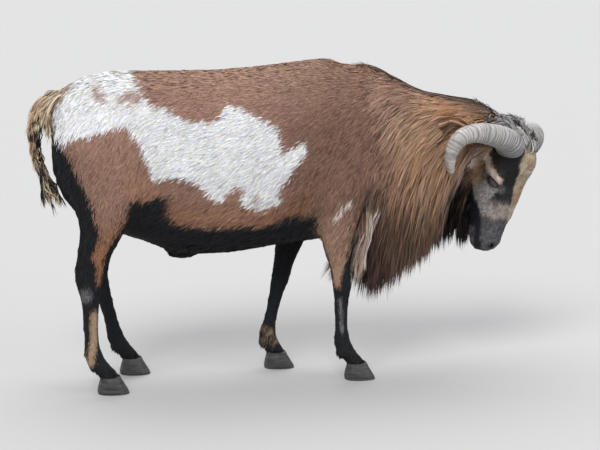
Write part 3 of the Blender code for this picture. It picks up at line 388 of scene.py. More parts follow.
def mesh_points(mesh):
    """A mesh's vertices as an array."""
    return numbers(mesh.vertices, "co", 3).astype(float)


def mesh_normals(mesh):
    """A mesh's vertex normals as an array."""
    return numbers(mesh.vertex_normals, "vector", 3).astype(float)


def put_points(mesh, points):
    """New places for a mesh's vertices."""
    mesh.vertices.foreach_set("co", points.astype(np.float32).ravel())
    mesh.update()


SMOOTHING = 0.5
SWELLING = -0.53


def relax(mesh, share, rounds):
    """Smooths a mesh by each vertex's share, without shrinking it."""
    points = mesh_points(mesh)
    edges = numbers(mesh.edges, "vertices", 2, np.int32)
    first, second = edges[:, 0], edges[:, 1]
    count = len(points)
    degree = np.bincount(edges.ravel(), minlength=count)[:, None]
    for step in [SMOOTHING, SWELLING] * rounds:
        total = np.empty_like(points)
        for axis in range(3):
            total[:, axis] = (np.bincount(first, points[second, axis], count)
                              + np.bincount(second, points[first, axis], count))
        points += (total / degree - points) * step * share[:, None]
    put_points(mesh, points)


def largest_only(thing):
    """Drops every closed surface but the largest."""
    edges = numbers(thing.data.edges, "vertices", 2, np.int32)
    label = np.arange(len(thing.data.vertices))
    while True:
        least = label.copy()
        np.minimum.at(least, edges[:, 0], label[edges[:, 1]])
        np.minimum.at(least, edges[:, 1], label[edges[:, 0]])
        least = least[least]
        if (least == label).all():
            break
        label = least
    kept = np.argmax(np.bincount(label))
    bm = bmesh.new()
    bm.from_mesh(thing.data)
    bm.verts.ensure_lookup_table()
    scraps = [bm.verts[k] for k in np.flatnonzero(label != kept)]
    bmesh.ops.delete(bm, geom=scraps, context="VERTS")
    bm.to_mesh(thing.data)
    bm.free()


def ramp(distance, near, far):
    """0 below near, 1 beyond far and an easy ramp between."""
    t = np.clip((distance - near) / (far - near), 0, 1)
    return t * t * (3 - 2 * t)


def within(distance, near, far):
    """1 below near, 0 beyond far and an easy ramp between."""
    return ramp(-distance, -far, -near)


def distance_to(points, spot):
    """How far each point is from one spot."""
    return np.linalg.norm(points - np.array(spot), axis=1)


def clear_of(points, spot, near, far):
    """0 round a spot of the head and its mirror image, 1 away from both."""
    right, left = (ramp(distance_to(points, mirrored_spot(spot, side)), near, far) for side in SIDES)
    return right * left


def read_off(table, at, column=1):
    """Values between a table's rows, by its first column."""
    return np.interp(at, [row[0] for row in table], [row[column] for row in table])


BODY_ROUNDS = 14
HEAD_ROUNDS = 22
FINE_ROUNDS = 2
MOUTH_LINE = [(0.188, -0.086), (0.206, -0.09), (0.226, -0.09), (0.246, -0.088), (0.28, -0.085)]
largest_only(body)
largest_only(head)
relax(body.data, np.ones(len(body.data.vertices)), BODY_ROUNDS)
points = mesh_points(head.data)
free = clear_of(points, EYE, 0.018, 0.028) * clear_of(points, NOSTRIL, 0.009, 0.018)
along, front, right = head_coordinates(points)
beside_mouth = np.hypot(front - read_off(MOUTH_LINE, along), np.maximum(MOUTH_LINE[0][0] - along, 0))
free *= ramp(beside_mouth, 0.004, 0.01)
free *= 1 - ramp(np.abs(right), 0.055, 0.065) * (along < 0.09)
relax(head.data, free, HEAD_ROUNDS)
relax(head.data, np.full(len(points), 0.8), FINE_ROUNDS)
print("smoothed the body and the head")

# %% [markdown]
# The mesh of the head is thinned where nothing happens, then the two surfaces become one skin. It is
# drawn in by the depth of the coat, so that the hair's surface comes out where the solids are.

# %% One skin
HEAD_KEPT = 0.42
COAT_DEPTH_TRUNK = 0.0042
COAT_DEPTH_LEG = 0.002
COAT_DEPTH_FACE = 0.0009
thinner = head.modifiers.new("thinner", "DECIMATE")
thinner.ratio = HEAD_KEPT
with_modifiers(head)
skin = from_bmesh("skin", joined(body, head))


def face_share(points):
    """1 on the face, 0 on the neck and the trunk."""
    along, front, right = head_coordinates(points)
    ahead = 0.327 * (along - 0.02) + 0.945 * (front + 0.1)
    near = ramp(np.hypot(front + 0.07, right), 0.22, 0.16) * ramp(along, -0.05, -0.01)
    return ramp(ahead, -0.006, 0.01) * near


BRIDGE_PLACE = 0.105        # distance down the face at which the bridge is drawn in most
BRIDGE_REACH = 0.03
BRIDGE_DEPTH = 0.009
points = mesh_points(skin.data)
along, front, right = head_coordinates(points)
dip = np.exp(-((along - BRIDGE_PLACE) / BRIDGE_REACH) ** 2) * ramp(front, -0.055, -0.02)
points -= np.array(FACEWARD) * (BRIDGE_DEPTH * dip * face_share(points))[:, None]
put_points(skin.data, points)
face = face_share(points)
leg = within(points[:, 2], 0.26, 0.36)
depth = COAT_DEPTH_TRUNK + (COAT_DEPTH_LEG - COAT_DEPTH_TRUNK) * leg
depth += (COAT_DEPTH_FACE - depth) * face
bare_neck = ramp(points[:, 0], 0.12, 0.16) * (1 - face)
depth *= (1 - bare_neck) * clear_of(points, EYE, 0.02, 0.03) * clear_of(points, NOSTRIL, 0.01, 0.02)
put_points(skin.data, points - mesh_normals(skin.data) * depth[:, None])
print("skin:", len(skin.data.vertices), "vertices")

# %% [markdown]
# Hair needs a lie. A few combs are set round the body, each a place and the way the coat runs there,
# and every point of the skin takes a mix of the nearest. Real coats turn smoothly in the same way:
# back along the trunk, down the legs, back and down the neck, and from a whorl between the eyes both
# down the nose and up to the poll.

# %% The lie of the coat
# forward, distance from the middle, height; way of the hair forward and up
BODY_COMBS = [
    (0.05, 0.0, 0.65, -1.0, -0.12), (-0.15, 0.0, 0.63, -1.0, 0.0), (-0.35, 0.0, 0.63, -1.0, -0.15),
    (-0.46, 0.0, 0.58, -0.6, -0.8), (-0.49, 0.05, 0.5, -0.1, -1.0), (0.06, 0.12, 0.5, -0.75, -0.65),
    (0.05, 0.11, 0.38, -0.35, -0.95), (-0.08, 0.14, 0.5, -0.9, -0.45), (-0.08, 0.13, 0.36, -0.75, -0.7),
    (-0.25, 0.12, 0.5, -0.9, -0.4), (-0.25, 0.12, 0.36, -0.75, -0.65), (-0.38, 0.12, 0.48, -0.55, -0.85),
    (-0.4, 0.11, 0.36, -0.25, -1.0), (-0.1, 0.0, 0.25, -1.0, 0.0), (0.1, 0.0, 0.3, -0.5, -0.8),
    (0.17, 0.0, 0.36, -0.05, -1.0), (0.05, 0.08, 0.2, -0.05, -1.0), (0.05, 0.08, 0.08, 0.0, -1.0),
    (-0.43, 0.08, 0.25, -0.1, -1.0), (-0.43, 0.08, 0.08, 0.0, -1.0), (0.15, 0.05, 0.62, -0.95, -0.25),
    (0.15, 0.1, 0.5, -0.72, -0.7), (0.15, 0.09, 0.38, -0.3, -0.95), (0.28, 0.0, 0.57, -0.97, -0.1),
    (0.28, 0.08, 0.5, -0.85, -0.5), (0.28, 0.07, 0.4, -0.35, -0.94), (0.4, 0.02, 0.54, -1.0, -0.12),
    (0.4, 0.07, 0.49, -0.85, -0.5), (0.4, 0.05, 0.4, -0.15, -0.99), (0.33, 0.02, 0.35, -0.12, -0.99),
]
# distance down the face, front, right; way of the hair by the same three
HEAD_COMBS = [
    (0.17, -0.02, 0.0, 1.0, 0.0, 0.0), (0.22, -0.07, 0.03, 0.8, -0.6, 0.0),
    (0.12, -0.1, 0.05, 0.4, -0.9, 0.0), (0.15, -0.13, 0.0, 0.3, -0.9, 0.0),
    (0.05, 0.0, 0.0, -1.0, -0.1, 0.0), (0.11, 0.0, 0.0, 1.0, 0.0, 0.0), (0.0, -0.03, 0.0, -0.9, -0.6, 0.0),
    (0.09, -0.11, 0.055, 0.1, -1.0, 0.0), (0.08, -0.06, 0.055, -0.4, -0.9, 0.0),
    (0.09, -0.15, 0.0, 0.2, -1.0, 0.0), (0.02, -0.125, 0.125, -0.4, -0.36, 0.8),
]
COMB_REACH = 0.03


def unit(vectors):
    """Vectors of length one."""
    return vectors / np.maximum(np.linalg.norm(vectors, axis=-1, keepdims=True), 1e-9)


def all_combs():
    """Places and ways of all combs on both sides."""
    places, ways = [], []
    for x, y, z, forward, upward in BODY_COMBS:
        for side in SIDES:
            places.append((x, y * side, z))
            ways.append((forward, 0.0, upward))
    for *place, down, forth, right in HEAD_COMBS:
        for side in SIDES:
            places.append(mirrored_spot(place, side))
            ways.append(MUZZLEWARD * down + FACEWARD * forth + RIGHTWARD * right * side)
    for start, end in zip(TAIL[1:], TAIL[2:]):
        places.append([(a + b) / 2 for a, b in zip(start[:3], end[:3])])
        ways.append([b - a for a, b in zip(start[:3], end[:3])])
    return np.array(places), unit(np.array(ways, float))


COMB_PLACES, COMB_WAYS = all_combs()
COMBS_BELOW_HEAD = 2 * len(BODY_COMBS)


def lie(points, normals, combs=None):
    """The way of the hair along the surface at each point, from all combs or only the first ones."""
    way = np.zeros_like(points)
    for place, comb in zip(COMB_PLACES[:combs], COMB_WAYS[:combs]):
        nearness = 1 / (((points - place) ** 2).sum(1) + COMB_REACH ** 2) ** 2
        way += comb * nearness[:, None]
    way = unit(way)
    way -= normals * (way * normals).sum(1)[:, None]
    return unit(way)


print("combs:", len(COMB_PLACES))

# %% [markdown]
# The markings belong to this breed's piebald form: russet body, black belly, legs and jaw, and a white
# patch on the right side. Skin and hair ask the same function for their colour, so both always agree.
# A painted picture would be another way, but a function of place stays sharp at any size and has no
# seams. Edges are worried by noise, because a marking ends hair by hair.

# %% Colours of the coat
RUSSET = (0.254, 0.146, 0.106)
RUSSET_DEEP = (0.128, 0.065, 0.044)
ORANGE = (0.27, 0.115, 0.044)
GOLD = (0.345, 0.198, 0.116)
TAN = (0.41, 0.275, 0.175)
CREAM = (0.64, 0.54, 0.4)
WHITE = (0.66, 0.66, 0.655)
PALE_HAIR = (0.56, 0.475, 0.425)
BLACK = (0.009, 0.0095, 0.011)
SLATE = (0.042, 0.044, 0.05)
UMBER = (0.046, 0.029, 0.023)
GREY = (0.215, 0.21, 0.208)
POLL_PALE = (0.42, 0.4, 0.38)
NOSTRIL_RIM = (0.03, 0.028, 0.03)


HASH_PRIMES = np.array([73856093, 19349663, 83492791])
HASH_STIR = 1274126177
HASH_SEED = 2654435761
FAR = 9.0


def wander(points, size, seed):
    """Smooth noise from 0 to 1 at each point, with features of one size."""
    grid = points / size + seed * 17.31
    cell = np.floor(grid).astype(np.int64)
    part = grid - cell
    part = part * part * (3 - 2 * part)
    total = np.zeros(len(points))
    for corner in range(8):
        offset = np.array([corner & 1, corner >> 1 & 1, corner >> 2 & 1])
        key = ((cell + offset) * HASH_PRIMES).sum(1) + seed * HASH_SEED
        key = (key ^ (key >> 13)) * HASH_STIR
        value = ((key ^ (key >> 16)) & 0xFFFF) / 65535
        share = np.where(offset, part, 1 - part).prod(1)
        total += value * share
    return total


def laid(colour, share, under):
    """A colour laid over others by its share."""
    under = np.array(under)
    return under + (np.array(colour) - under) * share[:, None]


def layered(under, *layers):
    """Several colours laid one over the other, each with its share."""
    for colour, share in layers:
        under = laid(colour, share, under)
    return under


def outline_distance(across, rise, outline):
    """Distance to a closed outline, above 0 inside it."""
    corners = np.array(outline)
    inside = np.zeros(len(across), bool)
    nearest = np.full(len(across), FAR)
    for start, end in zip(corners, np.roll(corners, -1, axis=0)):
        edge = end - start
        t = ((across - start[0]) * edge[0] + (rise - start[1]) * edge[1]) / (edge @ edge)
        t = np.clip(t, 0, 1)
        nearest = np.minimum(nearest, np.hypot(across - start[0] - t * edge[0],
                                               rise - start[1] - t * edge[1]))
        crosses = (start[1] > rise) != (end[1] > rise)
        if edge[1]:
            inside ^= crosses & (across < start[0] + (rise - start[1]) * edge[0] / edge[1])
    return np.where(inside, nearest, -nearest)


def streak(points, stops):
    """Distance from the nearest of a chain of stops."""
    nearest = np.full(len(points), FAR)
    chain = np.array(stops, float)
    for start, end in zip(chain, chain[1:]):
        edge = end - start
        t = np.clip((points - start) @ edge / (edge @ edge), 0, 1)
        nearest = np.minimum(nearest, np.linalg.norm(points - start - t[:, None] * edge, axis=1))
    return nearest


def below(values, edge, width):
    """1 where values lie well below an edge, 0 well above it."""
    return ramp(edge - values, -width, width)


# %% Outlines of the markings
# (forward, height) on the right side
WHITE_PATCH = [
    (-0.42, 0.68), (-0.332, 0.68), (-0.336, 0.625), (-0.328, 0.604), (-0.308, 0.582),
    (-0.273, 0.558), (-0.237, 0.542), (-0.178, 0.542), (-0.166, 0.571), (-0.15, 0.573),
    (-0.107, 0.551), (-0.071, 0.53), (-0.06, 0.499), (-0.053, 0.477), (-0.014, 0.501),
    (-0.01, 0.476), (-0.039, 0.446), (-0.062, 0.41), (-0.057, 0.383), (-0.103, 0.369),
    (-0.141, 0.383), (-0.134, 0.42), (-0.157, 0.417), (-0.176, 0.39), (-0.194, 0.392),
    (-0.209, 0.41), (-0.222, 0.426), (-0.259, 0.434), (-0.31, 0.434), (-0.317, 0.464),
    (-0.328, 0.489), (-0.335, 0.512), (-0.362, 0.535), (-0.391, 0.532), (-0.425, 0.526),
    (-0.459, 0.519), (-0.486, 0.508), (-0.5, 0.53), (-0.492, 0.565), (-0.47, 0.59),
    (-0.45, 0.61),
]
# place on the right side (forward, height), half length, half height
PATCH_SPOTS = [
    (-0.402, 0.597, 0.011, 0.019),
    (-0.344, 0.588, 0.022, 0.011),
    (-0.364, 0.628, 0.009, 0.006),
    (-0.108, 0.394, 0.007, 0.009),
]
# forward, height of the black below
BELLY_LINE = [
    (-0.4, 0.4), (-0.34, 0.398), (-0.321, 0.381), (-0.292, 0.36), (-0.263, 0.345),
    (-0.215, 0.334), (-0.166, 0.335), (-0.106, 0.333), (-0.055, 0.338), (-0.025, 0.353),
    (0.005, 0.364), (0.022, 0.35), (0.04, 0.3), (0.1, 0.3),
]
# height, black behind here, black ahead of here
HIND_LINES = [
    (0.215, -0.418, -0.418), (0.243, -0.424, -0.413), (0.285, -0.428, -0.404),
    (0.313, -0.422, -0.393), (0.34, -0.418, -0.376), (0.365, -0.421, -0.362),
    (0.386, -0.428, -0.35), (0.425, -0.448, -0.2), (0.464, -0.466, -0.2),
    (0.511, -0.483, -0.2), (0.545, -0.492, -0.2), (0.58, -0.52, -0.2),
]
FORE_LINES = [
    (0.19, 0.06, 0.06), (0.2, 0.053, 0.064), (0.215, 0.046, 0.068),
    (0.25, 0.035, 0.076), (0.302, 0.023, 0.09), (0.35, 0.015, 0.15),
]
SHOULDER_MARK = [(0.047, -0.111, 0.348), (0.066, -0.116, 0.36), (0.082, -0.118, 0.379)]
SHANK_STRIPE = [(-0.43, 0.085, 0.165), (-0.431, 0.085, 0.12), (-0.438, 0.085, 0.064)]
SHIN_STREAK = [(0.065, -0.085, 0.168), (0.069, -0.083, 0.105)]
HOCK_FROST = (-0.446, 0.204)


def past_wedge(x, z, lines):
    """1 behind and ahead of the brown wedge of a leg, 0 on it."""
    return np.maximum(below(x, read_off(lines, z), 0.004), 1 - below(x, read_off(lines, z, 2), 0.004))


def leg_marks(points, outward, colour, edge):
    """Black stockings with a brown wedge down the outside of each leg."""
    x, z = points[:, 0], points[:, 2]
    inside = below(outward, -0.15, 0.25) * below(z, 0.42, 0.03)
    black = np.maximum(past_wedge(x + edge, z, HIND_LINES), inside)
    black = np.maximum(black, below(z, 0.225, 0.008))
    black *= below(x, -0.28, 0.012) * below(z, 0.585, 0.006)
    brown = below(z, 0.34, 0.05) * below(x, -0.3, 0.01)
    colour = laid(BLACK, black, laid(ORANGE, brown * 0.55, colour))
    black = np.maximum(past_wedge(x + edge, z, FORE_LINES), below(outward, -0.05, 0.2))
    black = np.maximum(black, below(z, 0.198, 0.006)) * below(z, 0.352, 0.01)
    black *= 1 - below(x, -0.06, 0.012)
    warm = below(z, 0.34, 0.03) * (1 - below(x, 0.0, 0.01))
    return laid(BLACK, black, laid(TAN, warm * 0.3, colour))


def small_marks(points, outward, colour):
    """The shank stripes, frosted hocks, pasterns and shins, and the mark on the shoulder."""
    mirrored = points * np.array([1, -1, 1])
    for here in (points, mirrored):
        stripe = streak(here, SHANK_STRIPE) + 0.003 * (wander(points, 0.006, 3) - 0.5)
        share = within(stripe, 0.006, 0.01) * below(-outward, 0.2, 0.3)
        colour = laid(TAN, share * 0.75, colour)
    shin = streak(points, SHIN_STREAK) + 0.003 * (wander(points, 0.006, 10) - 0.5)
    frost = np.hypot((points[:, 0] - HOCK_FROST[0]) / 0.016, (points[:, 2] - HOCK_FROST[1]) / 0.02)
    frosted = within(frost, 0.3, 1.1) * wander(points, 0.004, 5) * below(-outward, 0, 0.3)
    behind = (points[:, 0] < -0.44) | ((points[:, 0] < 0.055) & (points[:, 0] > -0.3))
    pastern = within(np.abs(points[:, 2] - 0.072) / 0.028, 0.2, 1) * behind
    mark = streak(points, SHOULDER_MARK) + 0.007 * (wander(points, 0.008, 9) - 0.5)
    return layered(colour, (GREY, within(shin, 0.003, 0.0065) * 0.55), (GREY, frosted),
                   (TAN, pastern * 0.55 * ramp(wander(points, 0.006, 8), 0.35, 0.7)),
                   (PALE_HAIR, within(mark, 0.005, 0.0095)))


def trunk_colour(points, normals):
    """Colour of the short coat at points of the trunk and legs."""
    outward = normals[:, 1] * np.sign(points[:, 1])
    edge = 0.01 * (wander(points, 0.03, 1) - 0.5) + 0.007 * (wander(points, 0.008, 2) - 0.5)
    x, y, z = points.T
    shade = wander(points, 0.12, 4)[:, None]
    belly = read_off(BELLY_LINE, x)
    black = below(z + edge, belly, 0.006) * (1 - below(x, -0.36, 0.01)) * below(x, 0.13, 0.02)
    flank = below(z, belly + 0.045, 0.03) * (1 - below(x, -0.36, 0.03)) * below(x, 0.0, 0.03)
    colour = layered(
        np.array(RUSSET) * (0.78 + 0.44 * shade),
        # Painted shade: deeper russet darkens the shoulder and a band down the side behind it.
        (RUSSET_DEEP, 0.55 * within(np.hypot(x - 0.09, (z - 0.5) * 0.8), 0.03, 0.13)),
        (RUSSET_DEEP, 0.45 * within(np.abs(x + 0.01), 0.01, 0.07) * below(z, 0.56, 0.06)),
        # The tan over the top of the back is painted skylight, which makes the back paler.
        (TAN, 0.22 * ramp(z, 0.55, 0.65)), (ORANGE, 0.35 * flank))
    dressed = np.where((x > -0.02)[:, None], colour, laid(BLACK, black, colour))
    colour = leg_marks(points, outward, dressed, edge)
    colour = laid(BLACK, black * (x > -0.02) * below(outward, 0.35, 0.2), colour)
    patch = outline_distance(x + edge, z + edge * 0.8, WHITE_PATCH)
    side = below(y, 0.018 + 0.05 * (wander(points, 0.02, 6) - 0.5), 0.012)
    white = ramp(patch, -0.0025, 0.0025) * side
    for place_x, place_z, half_x, half_z in PATCH_SPOTS:
        spot = np.hypot((x - place_x + edge) / half_x, (z - place_z + edge) / half_z)
        white *= 1 - 0.85 * within(spot, 0.75, 1.35) * ramp(wander(points, 0.006, 7), 0.05, 0.45)
    colour = laid(WHITE, white, colour)
    return small_marks(points, outward, colour)


# %% Markings of the head
EAR = [(0.03, -0.114, 0.1), (-0.003, -0.138, 0.153), (-0.012, -0.134, 0.19)]
EAR_LINES = [[mirrored_spot(spot, side) for spot in EAR] for side in SIDES]
# distance down the face, rear edge of the black band
BLACK_BAND = [(0.09, -0.036), (0.115, -0.042), (0.137, -0.055), (0.152, -0.062)]
# distance down the face, half width of the cream band on the front
BRIDGE_BAND = [(0.03, 0.03), (0.06, 0.042), (0.09, 0.037), (0.135, 0.023), (0.16, 0.014), (0.2, 0.004)]
# distance down the face, front edge of the black jaw
JAW_LINE = [(0.0, -0.13), (0.1, -0.122), (0.13, -0.104), (0.15, -0.096), (0.17, -0.081),
            (0.19, -0.072), (0.22, -0.068), (0.27, -0.066)]
CHEEK_GREY = (0.385, 0.37, 0.355)
BROW_STRIPE = [(0.05, -0.088), (0.085, -0.066), (0.103, -0.046)]


def eye_slant(points):
    """Distances from the nearer eye's middle along its slanting slit and across it."""
    along, front, right = head_coordinates(points)
    down, forth = along - EYE[0], front - EYE[1]
    far = FAR * (np.abs(np.abs(right) - EYE[2]) > 0.03)
    return forth * 0.86 + down * 0.51 + far, forth * 0.51 - down * 0.86


def ear_distance(points):
    """Distance from the nearer ear's midline."""
    return np.minimum(*(streak(points, line) for line in EAR_LINES))


def face_colour(points):
    """Colour of the short hair of the head, from the ground shade to the ear's rim."""
    along, front, right = head_coordinates(points)
    across = np.abs(right)
    worry = 0.006 * (wander(points, 0.012, 11) - 0.5) + 0.004 * (wander(points, 0.004, 12) - 0.5)
    grizzle = ramp(wander(points, 0.002, 13), 0.25, 0.8)
    cheek = ramp(along, 0.1, 0.125) * below(along + worry, 0.185, 0.01)
    rear = below(front + worry, -0.088, 0.006) * below(along, 0.125, 0.012)
    # Painted shadow of the horn: below its root, between the brow stripe and the black band, the hair is
    # darkened to near black.
    dark = ramp(front, -0.084, -0.07) * below(along, 0.105, 0.01) * (across > 0.03)
    band = ramp(front + worry - read_off(BLACK_BAND, along), -0.003, 0.004)
    band *= below(along, 0.15 + worry * 2, 0.008)
    nose = ramp(along, 0.145, 0.16) * ramp(front + worry, -0.066, -0.052)
    nose *= below(along, 0.18, 0.01)
    bridge = below(across + worry, read_off(BRIDGE_BAND, along), 0.003) * below(along, 0.195, 0.02)
    bridge = bridge * (front > -0.04)
    brow = streak(np.stack([along, front], axis=1), BROW_STRIPE) + worry
    muzzle = ramp(along + worry, 0.176, 0.2)
    jaw = below(front + worry, read_off(JAW_LINE, along), 0.003) * ramp(along, 0.11, 0.135)
    long, high = eye_slant(points)
    almond = np.hypot(long / 0.0185, high / 0.0085)
    nostril = np.minimum(*(distance_to(points, mirrored_spot(NOSTRIL, side)) for side in SIDES))
    chin = ramp(along, 0.205, 0.22) * below(front, -0.084, 0.006)
    poll = below(along, 0.028, 0.014) * (across < 0.05) * ramp(front, -0.085, -0.06)
    poll *= ramp(along, -0.03, -0.01)
    ear = ramp(across, 0.06, 0.075) * below(along, 0.09, 0.01)
    from_axis = ear_distance(points)
    rim = np.maximum(ramp(from_axis, 0.0135, 0.017), ramp(across, 0.13, 0.14)) * ear
    return layered(
        RUSSET_DEEP, (UMBER, np.full(len(points), 0.8)), (CHEEK_GREY, cheek * (0.3 + 0.7 * grizzle)),
        (ORANGE, rear * 0.45), (TAN, rear * (0.3 + 0.45 * ramp(wander(points, 0.008, 14), 0.4, 0.7))),
        (BLACK, dark * (0.55 + 0.35 * grizzle)), (BLACK, band * 0.94), (TAN, nose * (0.1 + 0.3 * grizzle)),
        (CREAM, bridge * (0.52 + 0.3 * grizzle)),
        (GOLD, bridge * 0.6 * ramp(wander(points, 0.015, 15), 0.45, 0.7)),
        (TAN, within(brow, 0.007, 0.0125) * (across > 0.03) * 0.85),
        (PALE_HAIR, within(brow, 0.0045, 0.0095) * (across > 0.03) * 0.85),
        (SLATE, muzzle * 0.9), (GREY, muzzle * grizzle * 0.45), (BLACK, jaw),
        (GREY, within(almond, 1.3, 1.9) * grizzle * 0.6), (BLACK, within(almond, 0.8, 1.15) * 0.92),
        (NOSTRIL_RIM, within(nostril, 0.009, 0.015) * 0.7), (BLACK, within(nostril, 0.0065, 0.0095)),
        (GREY, chin * grizzle * 0.7), (GREY, poll * 0.6 * ramp(wander(points, 0.01, 16), 0.4, 0.65)),
        (UMBER, ear), (BLACK, ear * 0.5 * below(from_axis, 0.012, 0.004)), (PALE_HAIR, rim))


PAINT = "Coat"
CREST_WIDTH = 0.022
CREST_PATCH = (0.338, 0.034, 0.534)


def neck_colour(points):
    """Colour at the root of the mane's hair."""
    x, y, z = points.T
    centre, middle, half = (read_off(NECK, x, column) for column in (1, 2, 4))
    toward_trunk = below(x + 0.12 * (0.5 - z), 0.235, 0.07)
    sunned = 0.45 * ramp(wander(points, 0.022, 21), 0.5, 0.75)
    patch = distance_to(np.stack([x, np.abs(y), z], axis=1), CREST_PATCH)
    crest = below(np.abs(y - centre), CREST_WIDTH, 0.01) * ramp((z - middle) / half, 0.45, 0.75)
    crest *= ramp(x, 0.14, 0.24)
    return layered(GOLD, (RUSSET, toward_trunk * 0.9), (RUSSET_DEEP, below(z, 0.42, 0.06) * 0.6),
                   (TAN, sunned * (1 - 0.6 * toward_trunk)), (ORANGE, within(patch, 0.018, 0.034) * 0.7),
                   (UMBER, crest * 0.95))


def along_neck(points):
    """How far forward each point lies, by planes that lean with the neck."""
    return points[:, 0] + 0.1 * (points[:, 2] - 0.5)


def coat_colour(points, normals):
    """Colour of the coat at any point of the skin."""
    face = face_share(points)[:, None]
    neck = ramp(along_neck(points), 0.115, 0.165)[:, None] * (1 - face)
    colour = trunk_colour(points, normals) * (1 - neck) * (1 - face)
    return colour + neck_colour(points) * neck + face_colour(points) * face


def paint(mesh, colours):
    """Smooth shading, and colours for a mesh's vertices that its material reads."""
    mesh.shade_smooth()
    layer = mesh.attributes.new(PAINT, "FLOAT_COLOR", "POINT")
    rgba = np.ones((len(colours), 4), np.float32)
    rgba[:, :3] = np.clip(colours, 0, 1)
    layer.data.foreach_set("color", rgba.ravel())


paint(skin.data, coat_colour(mesh_points(skin.data), mesh_normals(skin.data)))
print("painted the skin")

# %% [markdown]
# Each tuft keeps a small patch of a flat map, so that a baked model can store its colour. The patch
# lies where the tuft's root lies on an unwrap of the skin, which is cut into charts by its own shape.

# %% Unwrap of the skin
BAKE_MAP = "OFBake"
skin.data.uv_layers.new(name=BAKE_MAP)
bpy.context.view_layer.objects.active = skin
skin.select_set(True)
bpy.ops.object.mode_set(mode="EDIT")
bpy.ops.mesh.select_all(action="SELECT")
bpy.ops.uv.smart_project(angle_limit=math.radians(70), island_margin=0.002)
bpy.ops.object.mode_set(mode="OBJECT")
skin.select_set(False)
print("unwrapped the skin")

# %% [markdown]
# Short hair is thousands of thin, flat, tapered tufts. Their roots are scattered over the skin by area,
# and each is two faces and a tip, laid along the coat and lifted a little. Particle hair would be
# quicker to set up, but it isn't mesh, and the model has to hold its coat wherever it is opened.

# %% Scattering roots
skin.data.calc_loop_triangles()
corners = numbers(skin.data.loop_triangles, "vertices", 3, np.int32)
loops = numbers(skin.data.loop_triangles, "loops", 3, np.int32)
chart = numbers(skin.data.uv_layers[BAKE_MAP].data, "uv", 2).astype(float)
skin_points = mesh_points(skin.data)
skin_normals = mesh_normals(skin.data)
sides = skin_points[corners]
tri_areas = 0.5 * np.linalg.norm(np.cross(sides[:, 1] - sides[:, 0], sides[:, 2] - sides[:, 0]), axis=1)


def scattered(share, count, random):
    """Roots on the skin: places, normals and places on its unwrap, spread by a share at each vertex."""
    weight = np.cumsum(tri_areas * share[corners].mean(1))
    draw = (np.arange(count) + random.random(count)) / count * weight[-1]
    tri = np.minimum(np.searchsorted(weight, draw), len(corners) - 1)
    a, b = random.random(count), random.random(count)
    flip = a + b > 1
    a[flip], b[flip] = 1 - a[flip], 1 - b[flip]
    mix = np.stack([1 - a - b, a, b], axis=1)[:, :, None]
    places = (skin_points[corners[tri]] * mix).sum(1)
    ways = unit((skin_normals[corners[tri]] * mix).sum(1))
    return places, ways, (chart[loops[tri]] * mix).sum(1)


skin_face = face_share(skin_points) * (1 - within(skin_points[:, 0], 0.25, 0.3))
skin_neck = ramp(along_neck(skin_points), 0.115, 0.165) * (1 - skin_face)
skin_leg = within(skin_points[:, 2], 0.24, 0.34) * (1 - skin_neck) * (1 - skin_face)
neck_run = along_neck(skin_points) - 0.02 * below(skin_points[:, 2], 0.42, 0.04)
print("skin area:", round(float(tri_areas.sum()), 3), "square metres")

# %% Ribbons
PATCH = 0.003


def ribbons(name, lines, across, widths, colours, charts):
    """One mesh of tapered ribbons. lines holds each one's points from root to tip."""
    count, rows = lines.shape[:2]
    body_rows = rows - 1
    taper = widths[:, :, None] * across / 2
    left = lines[:, :body_rows] - taper[:, :body_rows]
    right = lines[:, :body_rows] + taper[:, :body_rows]
    verts = np.concatenate([np.stack([left, right], axis=2).reshape(count, -1, 3), lines[:, -1:]], axis=1)
    per = verts.shape[1]
    quads = [(2 * k, 2 * k + 1, 2 * k + 3, 2 * k + 2) for k in range(body_rows - 1)]
    tip = (2 * body_rows - 2, 2 * body_rows - 1, 2 * body_rows)
    pattern = np.array([k for quad in quads for k in quad] + list(tip))
    sizes = np.array([4] * len(quads) + [3])
    mesh = bpy.data.meshes.new(name)
    mesh.vertices.add(count * per)
    mesh.vertices.foreach_set("co", verts.astype(np.float32).ravel())
    indices = (pattern[None] + per * np.arange(count)[:, None]).ravel()
    mesh.loops.add(len(indices))
    mesh.loops.foreach_set("vertex_index", indices.astype(np.int32))
    starts = np.concatenate([[0], np.cumsum(sizes)[:-1]])
    starts = (starts[None] + len(pattern) * np.arange(count)[:, None]).ravel()
    mesh.polygons.add(len(starts))
    mesh.polygons.foreach_set("loop_start", starts.astype(np.int32))
    mesh.update(calc_edges=True)
    rise = np.arange(rows) / (rows - 1) - 0.5
    flat = np.zeros((per, 2))
    flat[0:-1:2] = np.stack([np.full(body_rows, -0.5), rise[:body_rows]], axis=1)
    flat[1:-1:2] = np.stack([np.full(body_rows, 0.5), rise[:body_rows]], axis=1)
    flat[-1] = (0, 0.5)
    spread = np.clip(charts, PATCH, 1 - PATCH)[:, None] + PATCH * flat[None]
    mesh.uv_layers.new(name=BAKE_MAP).data.foreach_set(
        "uv", spread.reshape(-1, 2)[indices].astype(np.float32).ravel())
    shades = np.concatenate([np.repeat(colours[:, :body_rows], 2, axis=1), colours[:, -1:]], axis=1)
    paint(mesh, shades.reshape(-1, 3))
    return new_object(name, mesh)


def varied(colours, random, spread):
    """Each tuft's colour made a little lighter or darker, warmer or cooler."""
    light = np.exp(random.normal(0, spread, (len(colours), 1)))
    warm = np.stack([np.ones(len(colours)), random.normal(1, 0.04, len(colours)),
                     random.normal(1, 0.08, len(colours))], axis=1)
    return colours * light * warm


def graded(colours, shades):
    """A tuft's colour from root to tip; the darker root is painted shade deep in the coat."""
    return colours[:, None] * np.array(shades)[None, :, None]


